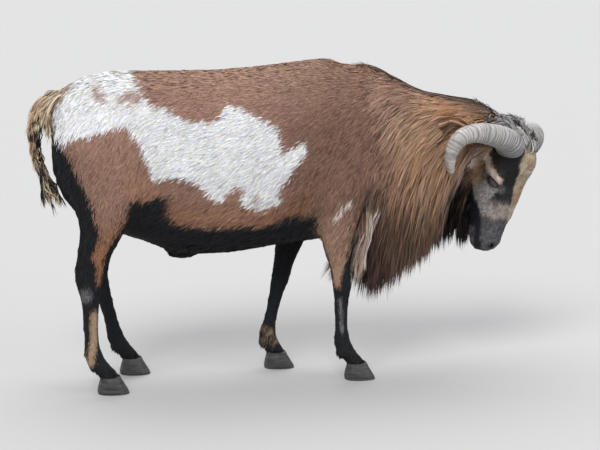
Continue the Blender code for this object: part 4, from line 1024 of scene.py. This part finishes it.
# %% The short coat
def short_tufts(name, share, count, length, width, tilt, blur, seed):
    """Flat tufts over part of the skin. blur is how far hairs of one colour stray into the next."""
    random = np.random.default_rng(seed)
    places, ways, charts = scattered(share, count, random)
    along = lie(places, ways)
    turn = random.normal(0, 0.13, count)[:, None]
    beside = np.cross(ways, along)
    along = unit(along * np.cos(turn) + beside * np.sin(turn))
    reach = length(places) * random.uniform(0.7, 1.25, count)
    lift = (tilt * random.uniform(0.5, 1.6, count))[:, None]
    step = reach[:, None] / 2
    root = places - ways * 0.0006
    middle = root + (along * np.cos(lift) + ways * np.sin(lift)) * step
    tip = middle + (along * np.cos(lift * 0.2) + ways * np.sin(lift * 0.2)) * step
    roll = random.normal(0, 0.45, count)[:, None]
    across = unit(np.cross(along, ways) * np.cos(roll) + ways * np.sin(roll))
    wide = (width * random.uniform(0.7, 1.3, count))[:, None] * np.array([1.0, 0.85, 0.0])
    mixed = places + random.normal(0, blur, (count, 3))
    # The darker root is painted shade deep in the coat.
    colours = graded(varied(coat_colour(mixed, ways), random, 0.12), [0.76, 0.98, 1.12])
    return ribbons(name, np.stack([root, middle, tip], axis=1), across[:, None], wide, colours, charts)


def trunk_length(places):
    """Hair is longest on the shoulder and belly."""
    x = places[:, 0]
    return 0.015 + 0.008 * ramp(x, 0.02, 0.1) + 0.018 * ramp(x, 0.09, 0.18)


def leg_length(places):
    """Hair shortens down the leg and feathers a little at the pastern."""
    z = places[:, 2]
    return 0.0075 + 0.006 * ramp(z, 0.14, 0.32) + 0.0055 * within(z, 0.042, 0.06)


def face_length(places):
    """Hair is shortest on the muzzle and round the eye, longest at the jaw and behind it."""
    along, front, right = head_coordinates(places)
    reach = 0.0062 + 0.007 * ramp(-front, 0.095, 0.13) + 0.006 * ramp(-along, -0.05, 0.0)
    reach *= 0.5 + 0.5 * clear_of(places, EYE, 0.016, 0.034)
    return reach * (1 - 0.4 * ramp(along, 0.2, 0.25))


hairy_face = skin_face * clear_of(skin_points, EYE, 0.015, 0.0175)
hairy_face = hairy_face * clear_of(skin_points, NOSTRIL, 0.008, 0.012)
trunk = (1 - skin_face) * within(neck_run, 0.155, 0.215) * (1 - skin_leg)
right_side = (skin_points[:, 1] < 0).astype(float)
# share of the skin, tufts, their length and width, lift off the skin, stray of the colours
COATS = {
    "coat_right": (trunk * right_side, 65000, trunk_length, 0.0023, 0.14, 0.0034),
    "coat_left": (trunk * (1 - right_side), 65000, trunk_length, 0.0023, 0.14, 0.0034),
    "coat_legs": (skin_leg, 42000, leg_length, 0.0018, 0.14, 0.002),
    "coat_face": (hairy_face, 52000, face_length, 0.0012, 0.2, 0.001),
}
coats = {name: short_tufts(name, *COATS[name], seed) for seed, name in enumerate(COATS, 1)}
print("short tufts:", sum(len(coat.data.polygons) // 2 for coat in coats.values()))

# %% [markdown]
# The mane is long hair that runs back and down from the head and hangs below the throat. Guide hairs
# are marched first: each starts along the coat, is held off the skin by its own clearance, and gives
# way to its weight toward the tip. Every other hair follows the guide that it grows nearest to and
# closes up with it, which gathers the hair in locks as the real mane's grease does.

# %% Guides and the hairs that follow them
EAR_CLEARING = 0.0215
EAR_OPENING = 0.022         # how far outside each ear the hair is kept off as well
CREST_FACING = 0.8          # high on the neck, hair on skin that faces less sideways is pressed flat
CREST_LOW = 0.47            # that rule holds above this height
CREST_HEIGHT = 0.009
# Hair that hangs under the jaw is darkened by this share, a painted shadow of the jaw.
THROAT_SHADOW = 0.8          # how much darker hair is where it hangs under the jaw
MANE_SIDE = 0.15            # no hair of the mane strays further to a side
skin_tree = BVHTree.FromPolygons([Vector(point) for point in skin_points], corners.tolist())


def nearest_skin(points):
    """The nearest place on the skin and its normal, for each point."""
    places = np.empty_like(points)
    ways = np.empty_like(points)
    for k, point in enumerate(points):
        place, way, _, _ = skin_tree.find_nearest(Vector(point))
        places[k] = place
        ways[k] = way
    return places, ways


GUIDE_ROWS = 7
SLACK = 0.006
HEADING_KEPT = 0.62         # how much of its heading a guide keeps from row to row
STRAND_WAVE = 0.0028
STRAIGHT_DOWN = (0, 0, -1.0)
STRAND_PROFILE = [0.8, 1.0, 1.0, 0.92, 0.76, 0.5, 0.0]


def guides(places, ways, reach, lift, weight, clearance, random, combs, fall):
    """Lines of points that leave the skin, follow the lie and sink under their weight."""
    step = (reach / (GUIDE_ROWS - 1))[:, None]
    along = lie(places, ways, combs)
    heading = unit(along * np.cos(lift)[:, None] + ways * np.sin(lift)[:, None])
    lines = [places - ways * 0.002]
    point = places
    drift = random.normal(0, 0.05, (len(places), 3))
    for row in range(1, GUIDE_ROWS):
        t = row / (GUIDE_ROWS - 1)
        point = point + heading * step
        near, normal = nearest_skin(point)
        outside = ((point - near) * normal).sum(1)
        wanted = clearance * math.sin(math.pi * min(0.5, 0.9 * t)) * (1 - 0.35 * t)
        lack = np.clip(wanted - outside, 0, 0.02)
        excess = np.clip(outside - wanted - SLACK, 0, 0.05) * (heading[:, 2] > -0.6)
        point = point + normal * (lack - excess)[:, None]
        lines.append(point)
        pull = (weight * t)[:, None]
        combed = lie(point, normal, combs) * (1 - HEADING_KEPT - 0.3 * np.minimum(pull, 1))
        heading = unit(heading * HEADING_KEPT + combed + np.array(fall) * pull * 0.5 + drift * 0.5)
    return np.stack(lines, axis=1)


def settled(hairs, height):
    """Hairs pressed down where they stand further off the skin than a height."""
    for row in range(1, GUIDE_ROWS):
        near, normal = nearest_skin(hairs[:, row])
        outside = ((hairs[:, row] - near) * normal).sum(1)
        hairs[:, row] -= normal * np.clip(outside - height, 0, None)[:, None]
    return hairs


def following(name, share, counts, makers, width, gather, shades, colour, seed,
              combs=None, fall=STRAIGHT_DOWN, cleared=()):
    """Long hair over part of the skin: counts gives how many guides and hairs."""
    random = np.random.default_rng(seed)
    places, ways, _ = scattered(share, counts[0], random)
    reach, lift, weight, clearance = makers(places, ways, random)
    lines = guides(places, ways, reach, lift, weight, clearance, random, combs, fall)
    guide_tone = np.exp(random.normal(0, 0.09, (counts[0], 1)))
    roots, normals, charts = scattered(share, counts[1], random)
    owner = np.empty(len(roots), np.int64)
    for start in range(0, len(roots), 2000):
        block = roots[start:start + 2000]
        owner[start:start + 2000] = ((block[:, None] - places[None]) ** 2).sum(2).argmin(1)
    t = np.linspace(0, 1, GUIDE_ROWS)[None, :, None]
    path = lines[owner] - lines[owner][:, :1]
    size = random.uniform(0.78, 1.12, (len(roots), 1, 1))
    away = (places[owner] - roots)[:, None] * t ** 0.9 * gather
    wave = random.normal(0, 1, (len(roots), 1, 3)) * STRAND_WAVE * np.sin(t * math.pi * 1.5)
    hairs = (roots - normals * 0.001)[:, None] + path * size + away + wave
    if combs:
        crest = (np.abs(normals[:, 1]) < CREST_FACING) & (roots[:, 2] > CREST_LOW)
        hairs[crest] = settled(hairs[crest], CREST_HEIGHT)
        kept = np.abs(hairs[:, :, 1]).max(1) < MANE_SIDE
        for line, room in cleared:
            kept &= streak(hairs[:, 1:].reshape(-1, 3), line).reshape(len(roots), -1).min(1) > room
        hairs, roots, normals, charts, owner = (part[kept] for part in (hairs, roots, normals, charts, owner))
    ahead = unit(np.gradient(hairs, axis=1))
    roll = random.normal(0, 0.5, (len(roots), 1, 1))
    across = np.cross(ahead, normals[:, None])
    across = unit(across * np.cos(roll) + np.cross(across, ahead) * np.sin(roll))
    wide = (width * random.uniform(0.65, 1.35, len(roots)))[:, None] * np.array(STRAND_PROFILE)
    tone = varied(colour(roots, normals, places[owner]), random, 0.11) * guide_tone[owner]
    # Painted shadow: where the mane's hair hangs under the jaw, it is darkened.
    throat = ramp(hairs[:, :, 0], 0.282, 0.298) * ramp(-hairs[:, :, 2], -0.4, -0.375)
    colours = graded(tone, shades) * (1 - THROAT_SHADOW * throat)[:, :, None]
    return ribbons(name, hairs, across, wide, colours, charts)


# %% The mane
# forward, height of the tips
MANE_TIPS = [(0.11, 0.29), (0.13, 0.255), (0.16, 0.225), (0.18, 0.195), (0.2, 0.16), (0.225, 0.138),
             (0.25, 0.146), (0.285, 0.2), (0.33, 0.238), (0.375, 0.258), (0.408, 0.275)]
MANE_GUIDES = 1400
MANE_HAIRS = 15000


def mane_makers(places, ways, random):
    """Reach, lift, weight and clearance of the mane's guides."""
    x, y, z = places.T
    full = ramp(along_neck(places), 0.13, 0.25)
    hang = ramp(-ways[:, 2], -0.15, 0.55)
    reach = 0.028 + 0.1 * full
    reach = reach * (1 - hang) + np.clip((z - read_off(MANE_TIPS, x)) * 0.97, 0.05, 0.22) * hang
    crest = ramp(ways[:, 2], 0.5, 0.85)
    reach *= random.uniform(0.8, 1.08, len(places)) * (1 - 0.35 * crest)
    lift = 0.05 + 0.2 * full * (1 - 0.75 * crest) + random.normal(0, 0.04, len(places))
    weight = 0.5 + 1.3 * hang + 0.8 * hang * ramp(x, 0.28, 0.38) - 0.45 * crest
    clearance = random.uniform(0.004, 0.024, len(places)) * (0.12 + 0.88 * full) * (1 - 0.7 * crest)
    clearance *= 0.25 + 0.75 * ramp(ear_distance(places), 0.025, 0.07)
    return reach, np.maximum(lift, 0.02), weight, clearance


def mane_colour(roots, normals, owners):
    """Colours of the long hair: golden sides, dark crest and dark ends below."""
    colour = 0.35 * coat_colour(roots, normals) + 0.65 * neck_colour(roots)
    x, y, z = owners.T
    low = below(z, 0.43, 0.05)
    front = ramp(x, 0.27, 0.36) * low
    strand = wander(owners, 0.012, 22)
    return layered(colour, (RUSSET, low * 0.35), (UMBER, front * ramp(strand, 0.35, 0.6) * 0.8),
                   (RUSSET_DEEP, low * ramp(wander(owners, 0.016, 23), 0.45, 0.65) * 0.7),
                   (UMBER, below(z, 0.37, 0.03) * ramp(x, 0.17, 0.21) * strand * 0.8))


def even_makers(*spans):
    """Makers of guides whose reach, lift, weight and clearance are drawn from spans, or fixed."""
    def makers(places, ways, random):
        count = len(places)
        return [random.uniform(*span, count) if isinstance(span, tuple) else np.full(count, span)
                for span in spans]
    return makers


def brisket_colour(roots, normals, owners):
    """Cream and pale brown strands."""
    pick = wander(owners, 0.008, 24)
    return layered(RUSSET, (TAN, ramp(pick, 0.22, 0.4)), (PALE_HAIR, ramp(pick, 0.34, 0.52)))


upper = ramp(skin_points[:, 2], 0.455, 0.456)
# Shades of the long hair from root to tip; the darker roots are painted shade deep in the mane.
UPPER_SHADES = [0.66, 0.8, 0.9, 0.96, 1.0, 1.02, 1.04]
LOWER_SHADES = [0.6, 0.8, 0.9, 0.88, 0.76, 0.54, 0.34]
BRISKET_PLACE = (0.15, -0.075, 0.35)
TUFT_LINE = [(0.138, -0.112, 0.318), (0.134, -0.112, 0.29), (0.118, -0.112, 0.255), (0.098, -0.11, 0.232)]
TUFT_ROOM = 0.023
from_tuft = np.hypot(skin_points[:, 0] - BRISKET_PLACE[0], skin_points[:, 2] - BRISKET_PLACE[2])
brisket = within(from_tuft, 0.026, 0.04) * (skin_points[:, 1] < -0.03)
mane_share = ramp(neck_run, 0.12, 0.19) * (1 - skin_face) * (1 - 0.85 * brisket)
MANE_CLEARED = [(EAR_LINES[0], EAR_CLEARING), (EAR_LINES[1], EAR_CLEARING), (TUFT_LINE, TUFT_ROOM)]
for ear_line, outward in zip(EAR_LINES, (-EAR_OPENING, EAR_OPENING)):
    MANE_CLEARED.append(([place + Vector((0, outward, 0)) for place in ear_line], EAR_CLEARING))
long_hair = {}
MANE_PARTS = ["mane_right_upper", "mane_right_lower", "mane_left_upper", "mane_left_lower"]
for seed, name in enumerate(MANE_PARTS, 31):
    part = (right_side if "right" in name else 1 - right_side) * (upper if "upper" in name else 1 - upper)
    shades = UPPER_SHADES if "upper" in name else LOWER_SHADES
    long_hair[name] = following(name, mane_share * part, (MANE_GUIDES, MANE_HAIRS), mane_makers, 0.0026, 0.5,
                                shades, mane_colour, seed, COMBS_BELOW_HEAD, cleared=MANE_CLEARED)
brisket_makers = even_makers((0.115, 0.15), (0.25, 0.45), (0.7, 1.0), (0.024, 0.038))
long_hair["brisket_tuft"] = following("brisket_tuft", brisket, (160, 5200), brisket_makers, 0.0022, 0.15,
                                      UPPER_SHADES, brisket_colour, 36, COMBS_BELOW_HEAD, (-0.36, 0, -0.93))
print("pieces of mane:", len(long_hair))

# %% Beard, forelock and tail
skin_along, skin_front, skin_right = head_coordinates(skin_points)
jaw_share = skin_face * ramp(-skin_front, 0.1, 0.118) * ramp(skin_along, 0.06, 0.09)
jaw_share *= below(skin_along, 0.225, 0.01)
poll_share = below(skin_along, 0.036, 0.01) * (np.abs(skin_right) < 0.046) * (skin_front > -0.14)
poll_share *= ramp(skin_along, -0.06, -0.03) * (skin_points[:, 0] > 0.38)
tail_share = ramp(-streak(skin_points, [row[:3] for row in TAIL]), -0.0165, -0.0145)
tail_share *= below(skin_points[:, 0], -0.478, 0.006)


def beard_makers(places, ways, random):
    """A short beard that hangs from the jaw and throat."""
    along = head_coordinates(places)[0]
    reach = 0.022 + 0.026 * ramp(along, 0.1, 0.2) * random.uniform(0.6, 1.1, len(places))
    return reach, np.full(len(places), 0.5), np.full(len(places), 1.6), np.full(len(places), 0.002)


def jaw_colour(roots, normals, owners):
    """Brown at the throat, then black with some grey hairs."""
    along = head_coordinates(roots)[0]
    grey = ramp(wander(roots, 0.006, 41), 0.55, 0.75) * (0.45 + 0.45 * ramp(along, 0.17, 0.2))
    return layered(UMBER, (RUSSET, wander(roots, 0.006, 44) * 0.5), (BLACK, ramp(along, 0.11, 0.135)),
                   (GREY, grey * ramp(along, 0.12, 0.14)))


def poll_colour(roots, normals, owners):
    """White, grey and black hairs in small locks."""
    pick = wander(owners, 0.009, 42)
    pale = ramp(pick, 0.46, 0.62) * ramp(roots[:, 0], 0.43, 0.46)
    return layered(UMBER, (GREY, ramp(pick, 0.28, 0.42)), (POLL_PALE, pale))


def tail_colour(roots, normals, owners):
    """Tan behind, black toward the body."""
    behind = ramp(-normals[:, 0], -0.15, 0.35)
    pale = behind * ramp(wander(roots, 0.02, 43), 0.4, 0.7) * 0.7
    return layered(BLACK, (TAN, behind), (CREAM, pale))


forelock_makers = even_makers((0.02, 0.034), (0.3, 0.9), 0.3, 0.004)
tail_makers = even_makers((0.045, 0.07), (0.05, 0.16), 0.8, (0.001, 0.004))
# Their darker roots are painted shade deep in the hair.
BEARD_SHADES = [0.8, 0.9, 1, 1, 1, 1.1, 1.2]
FORELOCK_SHADES = [0.6, 0.8, 0.9, 1, 1.05, 1.1, 1.15]
TAIL_SHADES = [0.8, 0.9, 1, 1, 1.05, 1.1, 1.15]
# share of the skin, guides and hairs, makers, width, gather, shades from root to tip, colour
TUFTS = {
    "beard": (jaw_share, (150, 2600), beard_makers, 0.002, 0.6, BEARD_SHADES, jaw_colour),
    "forelock": (poll_share, (120, 3200), forelock_makers, 0.0022, 0.6, FORELOCK_SHADES, poll_colour),
    "tail_hair": (tail_share, (170, 3600), tail_makers, 0.0026, 0.5, TAIL_SHADES, tail_colour),
}
for seed, name in enumerate(TUFTS, 51):
    long_hair[name] = following(name, *TUFTS[name], seed)
print("beard, forelock and tail are grown")

# %% [markdown]
# Horn grows in rings, deep and close at the root and fading to a smooth blunt tip. A section is drawn
# along the named curl, with many stations to each ring, and its size swells and dips by a saw-like
# wave, so that every ring has a soft upper edge and a sharp groove under it.

# %% Horns
# distance down the face, front, right, half width
HORN = [
    (0.044, -0.049, 0.026, 0.027), (0.033, -0.042, 0.04, 0.031), (0.018, -0.042, 0.068, 0.0305),
    (0.01, -0.056, 0.104, 0.028), (0.009, -0.078, 0.141, 0.0245), (0.022, -0.099, 0.17, 0.0205),
    (0.05, -0.109, 0.181, 0.016), (0.077, -0.11, 0.177, 0.0125), (0.098, -0.108, 0.165, 0.0085),
]
HORN_FLATNESS = 0.8
HORN_SIDES = 36
HORN_STATIONS = 44
RING_SPACING = 0.0053       # at the root
RING_SPREAD = 0.0018        # how much wider the rings get
RING_DEPTH = 0.0024
HORN_PALE = (0.362, 0.345, 0.342)
HORN_DARK = (0.066, 0.062, 0.063)
HORN_TIP = (0.35, 0.315, 0.275)


def horn(side):
    """One ringed horn and its colours."""
    rows = eased(HORN, HORN_STATIONS)
    centres = [mirrored_spot(row, side) for row in rows]
    travelled = np.cumsum([0.0] + [(after - before).length for before, after in zip(centres, centres[1:])])
    share = (travelled / travelled[-1])[:, None]
    end = np.minimum(1.0, (1 - share) / 0.035)
    blunt = np.sqrt(np.maximum(0.02, 1 - (1 - end) ** 2))
    rings = []
    for k, (across, up) in enumerate(carried_axes(centres, FACEWARD)):
        half = rows[k][3] * blunt[k, 0]
        rings.append(oval(centres[k], across, up, half * HORN_FLATNESS, half, half, HORN_SIDES, 0.9, 0.9))
    places = np.array([[tuple(point) for point in ring] for ring in rings])
    waver = wander(places.reshape(-1, 3), 0.018, 62).reshape(places.shape[:2]) - 0.5
    turn = travelled / (RING_SPACING + RING_SPREAD * share[:, 0])
    turn = turn + 0.35 * np.sin(travelled * 190) + 0.2 * np.sin(travelled * 77)
    groove = np.exp(-(((turn[:, None] + 0.8 * waver) % 1.0 - 0.5) / 0.19) ** 2)
    fade = 1 - 0.85 * np.minimum(1.0, share / 0.85)
    middles = np.array([tuple(centre) for centre in centres])[:, None]
    places -= unit(places - middles) * (RING_DEPTH * groove * fade)[:, :, None]
    pale, dark, tip = np.array(HORN_PALE), np.array(HORN_DARK), np.array(HORN_TIP)
    tone = pale + (tip - pale) * share[:, :, None] ** 2
    tone = tone + (dark - tone) * np.minimum(1.0, 0.95 * groove * fade ** 0.5)[:, :, None]
    shades = tone * (0.42 + 0.58 * np.minimum(1.0, share / 0.3))[:, :, None]
    bm = drawn_through([[Vector(point) for point in ring] for ring in places.tolist()])
    thing = from_bmesh(f"horn_{SIDES[side]}_ringed", bm)
    places = mesh_points(thing.data)
    grain = (wander(places, 0.005, 61) * 0.4 + 0.8) * (wander(places, 0.022, 63) * 0.4 + 0.8)
    paint(thing.data, shades.reshape(-1, 3)[:len(places)] * grain[:, None])
    return thing


horns = {f"horn_{SIDES[side]}": horn(side) for side in SIDES}
print("horns:", [len(thing.data.polygons) for thing in horns.values()], "faces")

# %% [markdown]
# A sheep's eye is amber brown with a level, slot-shaped pupil, and very little white shows. The ball
# is a sphere of the named radius, and its colours are set by how far each point turns from the way
# that the eye looks.

# %% Eyes
IRIS = (0.04, 0.021, 0.009)
IRIS_RIM = (0.022, 0.014, 0.01)
EYE_WHITE = (0.075, 0.05, 0.04)
PUPIL = (0.003, 0.003, 0.004)
LID_HIGHLIGHT = (0.2, 0.165, 0.155)


def gaze(side):
    """Where an eyeball stands and the way it looks."""
    outward = RIGHTWARD * side * 0.94 + FACEWARD * 0.3 + MUZZLEWARD * 0.12
    return mirrored_spot(EYE, side), outward.normalized()


def eye(side):
    """One eyeball with its iris and pupil."""
    centre, outward = gaze(side)
    level = outward.cross(UP).normalized()
    rise = level.cross(outward)
    bm = bmesh.new()
    bmesh.ops.create_uvsphere(bm, u_segments=64, v_segments=48, radius=EYE_RADIUS)
    turn = Matrix((level, rise, outward)).transposed().to_4x4()
    bmesh.ops.transform(bm, matrix=Matrix.Translation(centre) @ turn, verts=bm.verts[:])
    thing = from_bmesh(f"eyeball_{SIDES[side]}", bm)
    away = (mesh_points(thing.data) - np.array(centre)) / EYE_RADIUS
    flat_x, flat_y = away @ np.array(level), away @ np.array(rise)
    facing = away @ np.array(outward)
    radius = np.hypot(flat_x, flat_y) + (facing < 0)
    pupil = np.maximum(np.abs(flat_x) / 0.36, np.abs(flat_y) / 0.15) + FAR * (facing < 0)
    layers = [(IRIS_RIM, within(radius, 0.64, 0.7)), (IRIS, within(radius, 0.52, 0.62)),
              (PUPIL, within(pupil, 0.9, 1.1))]
    paint(thing.data, layered(EYE_WHITE, *layers))
    return thing


LID_LENGTH = 0.0132
LID_RADIUS = 0.015
LID_STEPS = 12
# the slit's edge and the lid's root, above the eye's middle
UPPER_LID = (0.0008, 0.0075)
LOWER_LID = (-0.0022, -0.007)


def half_closed_lids(side):
    """The two lids, drawn nearly together over the ball."""
    centre, outward = gaze(side)
    corner = MUZZLEWARD * 0.5 + FACEWARD * 0.85
    corner = (corner - outward * corner.dot(outward)).normalized()
    brow = outward.cross(corner) * side
    if brow.dot(MUZZLEWARD) > 0:
        brow = -brow
    bm = bmesh.new()
    shades = []
    for edge, root in (UPPER_LID, LOWER_LID):
        rows = []
        for k in range(2 * LID_STEPS + 1):
            u = k / LID_STEPS - 1
            row = []
            for j in range(LID_STEPS + 1):
                t = j / LID_STEPS
                across = (edge + (root - edge) * t) * (1 - 0.8 * u * u) - 0.001 * (1 - u * u)
                radius = LID_RADIUS - 0.0012 * (1 - min(1.0, t * 4)) ** 2
                reach = math.sqrt(radius ** 2 - (u * LID_LENGTH) ** 2 - across ** 2)
                row.append(bm.verts.new(centre + corner * u * LID_LENGTH + brow * across + outward * reach))
                shades.append(t)
            rows.append(row)
        for one, other in zip(rows, rows[1:]):
            for j in range(LID_STEPS):
                bm.faces.new((one[j], other[j], other[j + 1], one[j + 1]))
    thing = from_bmesh(f"eyelids_{SIDES[side]}", bm)
    # A paler line along each lid's edge is a painted highlight.
    rim = within(np.abs(np.array(shades) - 0.2), 0.04, 0.14)
    paint(thing.data, laid(LID_HIGHLIGHT, rim * 0.8, np.array(UMBER) * 0.5))
    return thing


eyes = {f"eye_{SIDES[side]}": eye(side) for side in SIDES}
eyelids = [half_closed_lids(side) for side in SIDES]
print("eyes made")

# %% [markdown]
# Materials read the painted colour of each vertex and add what is finer than a vertex. One node group
# gives all hair its grain, and another gives horn and hoof their fibres and dust.

# %% Node groups
def plugged(tree, node, entries):
    """A node with each named input joined to a socket or set to a value."""
    for label, entry in entries.items():
        if isinstance(entry, bpy.types.NodeSocket):
            tree.links.new(entry, node.inputs[label])
        else:
            node.inputs[label].default_value = entry
    return node


def added(tree, kind, entries):
    """A new node of one kind, plugged in."""
    return plugged(tree, tree.nodes.new(kind), entries)


def spread(tree, source, lowest, highest):
    """A value from 0 to 1 spread between two others."""
    entries = {"To Min": lowest, "To Max": highest, "Value": source}
    return added(tree, "ShaderNodeMapRange", entries).outputs["Result"]


COLOUR, PLACEMENT, NUMBER = "NodeSocketColor", "NodeSocketVector", "NodeSocketFloat"


def grain_group(name, lowest, highest, rough):
    """Colour multiplied by fine noise, with a roughness and a height."""
    group = bpy.data.node_groups.new(name, "ShaderNodeTree")
    for label, kind in (("Colour", COLOUR), ("Place", PLACEMENT), ("Fineness", NUMBER)):
        group.interface.new_socket(label, in_out="INPUT", socket_type=kind)
    for label, kind in (("Colour", COLOUR), ("Roughness", NUMBER), ("Height", NUMBER)):
        group.interface.new_socket(label, in_out="OUTPUT", socket_type=kind)
    given = group.nodes.new("NodeGroupInput").outputs
    entries = {"Detail": 4.0, "Roughness": 0.6, "Vector": given["Place"], "Scale": given["Fineness"]}
    noise = added(group, "ShaderNodeTexNoise", entries).outputs["Fac"]
    tinted = group.nodes.new("ShaderNodeVectorMath")
    tinted.operation = "SCALE"
    plugged(group, tinted, {"Vector": given["Colour"], "Scale": spread(group, noise, lowest, highest)})
    rough = spread(group, noise, rough - 0.1, rough + 0.1)
    added(group, "NodeGroupOutput", {"Colour": tinted.outputs["Vector"], "Roughness": rough, "Height": noise})
    return group


hair_grain = grain_group("Hair grain", 0.55, 1.45, 0.62)
horn_grain = grain_group("Horn fibre", 0.7, 1.3, 0.52)
print("node groups made")


# %% Materials
def started(name):
    """A new material, its nodes and its shader."""
    material = bpy.data.materials.new(name)
    material.use_nodes = True
    return material, material.node_tree, material.node_tree.nodes["Principled BSDF"]


def grained(tree, shader, group, colour, place, fineness, bump, relief=None):
    """Gives a shader its colour, roughness and fine relief through a grain group."""
    grain = tree.nodes.new("ShaderNodeGroup")
    grain.node_tree = group
    out = plugged(tree, grain, {"Colour": colour, "Place": place, "Fineness": fineness}).outputs
    entries = {"Strength": bump, "Distance": 0.001, "Height": relief or out["Height"]}
    height = added(tree, "ShaderNodeBump", entries).outputs["Normal"]
    plugged(tree, shader, {"Base Color": out["Colour"], "Roughness": out["Roughness"], "Normal": height})


def painted_material(name, group, fineness, bump, sheen, specular):
    """A material that reads the painted colour and a grain group."""
    material, tree, shader = started(name)
    colour = tree.nodes.new("ShaderNodeAttribute")
    colour.attribute_name = PAINT
    place = tree.nodes.new("ShaderNodeTexCoord").outputs["Object"]
    grained(tree, shader, group, colour.outputs["Color"], place, fineness, bump)
    plugged(tree, shader, {"Sheen Weight": sheen, "Sheen Roughness": 0.4, "Specular IOR Level": specular})
    return material


skin_hair = painted_material("short_hair_on_skin", hair_grain, 700.0, 0.6, 0.05, 0.16)
tuft_hair = painted_material("hair_tufts", hair_grain, 900.0, 0.2, 0.05, 0.18)
long_strands = painted_material("long_hair", hair_grain, 500.0, 0.2, 0.06, 0.26)
horn_finish = painted_material("ringed_horn", horn_grain, 420.0, 0.5, 0.0, 0.4)
eye_finish = painted_material("wet_eye", horn_grain, 900.0, 0.0, 0.0, 0.6)
eye_tree = eye_finish.node_tree
wet = eye_tree.nodes["Principled BSDF"]
eye_tree.links.remove(wet.inputs["Roughness"].links[0])
plugged(eye_tree, wet, {"Roughness": 0.08, "Coat Weight": 1.0, "Coat Roughness": 0.03})


def hoof_material():
    """Dark grey horn with level growth rings and dust."""
    material, tree, shader = started("hoof_horn")
    place = tree.nodes.new("ShaderNodeTexCoord").outputs["Object"]
    entries = {"Scale": (30.0, 30.0, 260.0), "Vector": place}
    flattened = added(tree, "ShaderNodeMapping", entries).outputs["Vector"]
    entries = {"Scale": 1.0, "Detail": 3.0, "Vector": flattened}
    rings = added(tree, "ShaderNodeTexNoise", entries).outputs["Fac"]
    tint = added(tree, "ShaderNodeValToRGB", {"Fac": rings})
    dark, pale = tint.color_ramp.elements
    dark.position, dark.color = 0.35, (0.022, 0.021, 0.021, 1)
    pale.position, pale.color = 0.7, (0.062, 0.058, 0.055, 1)
    grained(tree, shader, horn_grain, tint.outputs["Color"], place, 150.0, 0.5, rings)
    return material


hoof_horn = hoof_material()
print("materials:", len(bpy.data.materials))

# %% [markdown]
# Each finished piece is moved from the animal's own middle to its place in the solids' frame, gets its
# finish, and the solids that it stands for are hidden.

# %% Putting the pieces in place
FLESH_NODES = ["torso", "neck", "head", "tail", "ear_right", "ear_left"] + LEG_NODES


def place_piece(thing, finish, slot, *nodes):
    """Sets a finished piece in the frame, in the place of the solids that it stands for."""
    thing.data.transform(Matrix.Translation(PLACE))
    thing.data.materials.clear()
    thing.data.materials.append(finish)
    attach(thing, "root")
    if nodes:
        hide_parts(*nodes)


place_piece(skin, skin_hair, "coat_torso", *FLESH_NODES)
SLOTS = {"coat_right": "coat_torso", "coat_left": "coat_torso", "coat_legs": "leg_lower",
         "coat_face": "coat_face", "beard": "coat_face", "forelock": "coat_face", "tail_hair": "coat_tail"}
for name, thing in coats.items():
    place_piece(thing, tuft_hair, SLOTS[name])
for name, thing in long_hair.items():
    place_piece(thing, long_strands, SLOTS.get(name, "coat_mane"))
for node, thing in horns.items():
    place_piece(thing, horn_finish, "horn", node)
for node, thing in eyes.items():
    place_piece(thing, eye_finish, "eye", node)
for thing in eyelids:
    place_piece(thing, skin_hair, "coat_face")
for name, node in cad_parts.items():
    if name.startswith("hoof_"):
        node.data.materials.clear()
        node.data.materials.append(hoof_horn)
print("pieces placed")

# %% [markdown]
# The light is a plain, soft studio: a wide key from above and behind the camera, a fill from the
# head's side and a pale floor that throws light back under the belly.

# %% Floor and lights
FLOOR_SIZE = 90.0
floor_bm = bmesh.new()
bmesh.ops.create_grid(floor_bm, x_segments=1, y_segments=1, size=FLOOR_SIZE / 2)
floor = from_bmesh("floor", floor_bm)
floor_finish, floor_tree, floor_shader = started("pale_floor")
plugged(floor_tree, floor_shader, {"Base Color": (0.41, 0.405, 0.395, 1), "Roughness": 0.9})
floor.data.materials.append(floor_finish)

# where it shines from, strength, width in degrees
LIGHTS = {
    "key": ((-1.2, -2.4, 3.0), 2.6, 30),
    "fill": ((2.6, -1.8, 1.6), 0.7, 40),
    "top": ((0.2, 1.2, 3.2), 2.25, 60),
}
for name, (place, strength, width) in LIGHTS.items():
    lamp = bpy.data.lights.new(name, "SUN")
    lamp.angle = math.radians(width)
    lamp.energy = strength
    light = bpy.data.objects.new(name, lamp)
    light.location = place
    light.rotation_euler = (CAMERA_AIM - Vector(place)).to_track_quat("-Z", "Y").to_euler()
    bpy.context.scene.collection.objects.link(light)
world = bpy.data.worlds.new("studio")
world.use_nodes = True
sky = world.node_tree.nodes["Background"]
plugged(world.node_tree, sky, {"Color": (0.86, 0.9, 1.0, 1), "Strength": 0.55})
bpy.context.scene.world = world
bpy.context.scene.view_settings.view_transform = "Standard"
print("lights:", len(LIGHTS))

# %% The end
print("scene built")
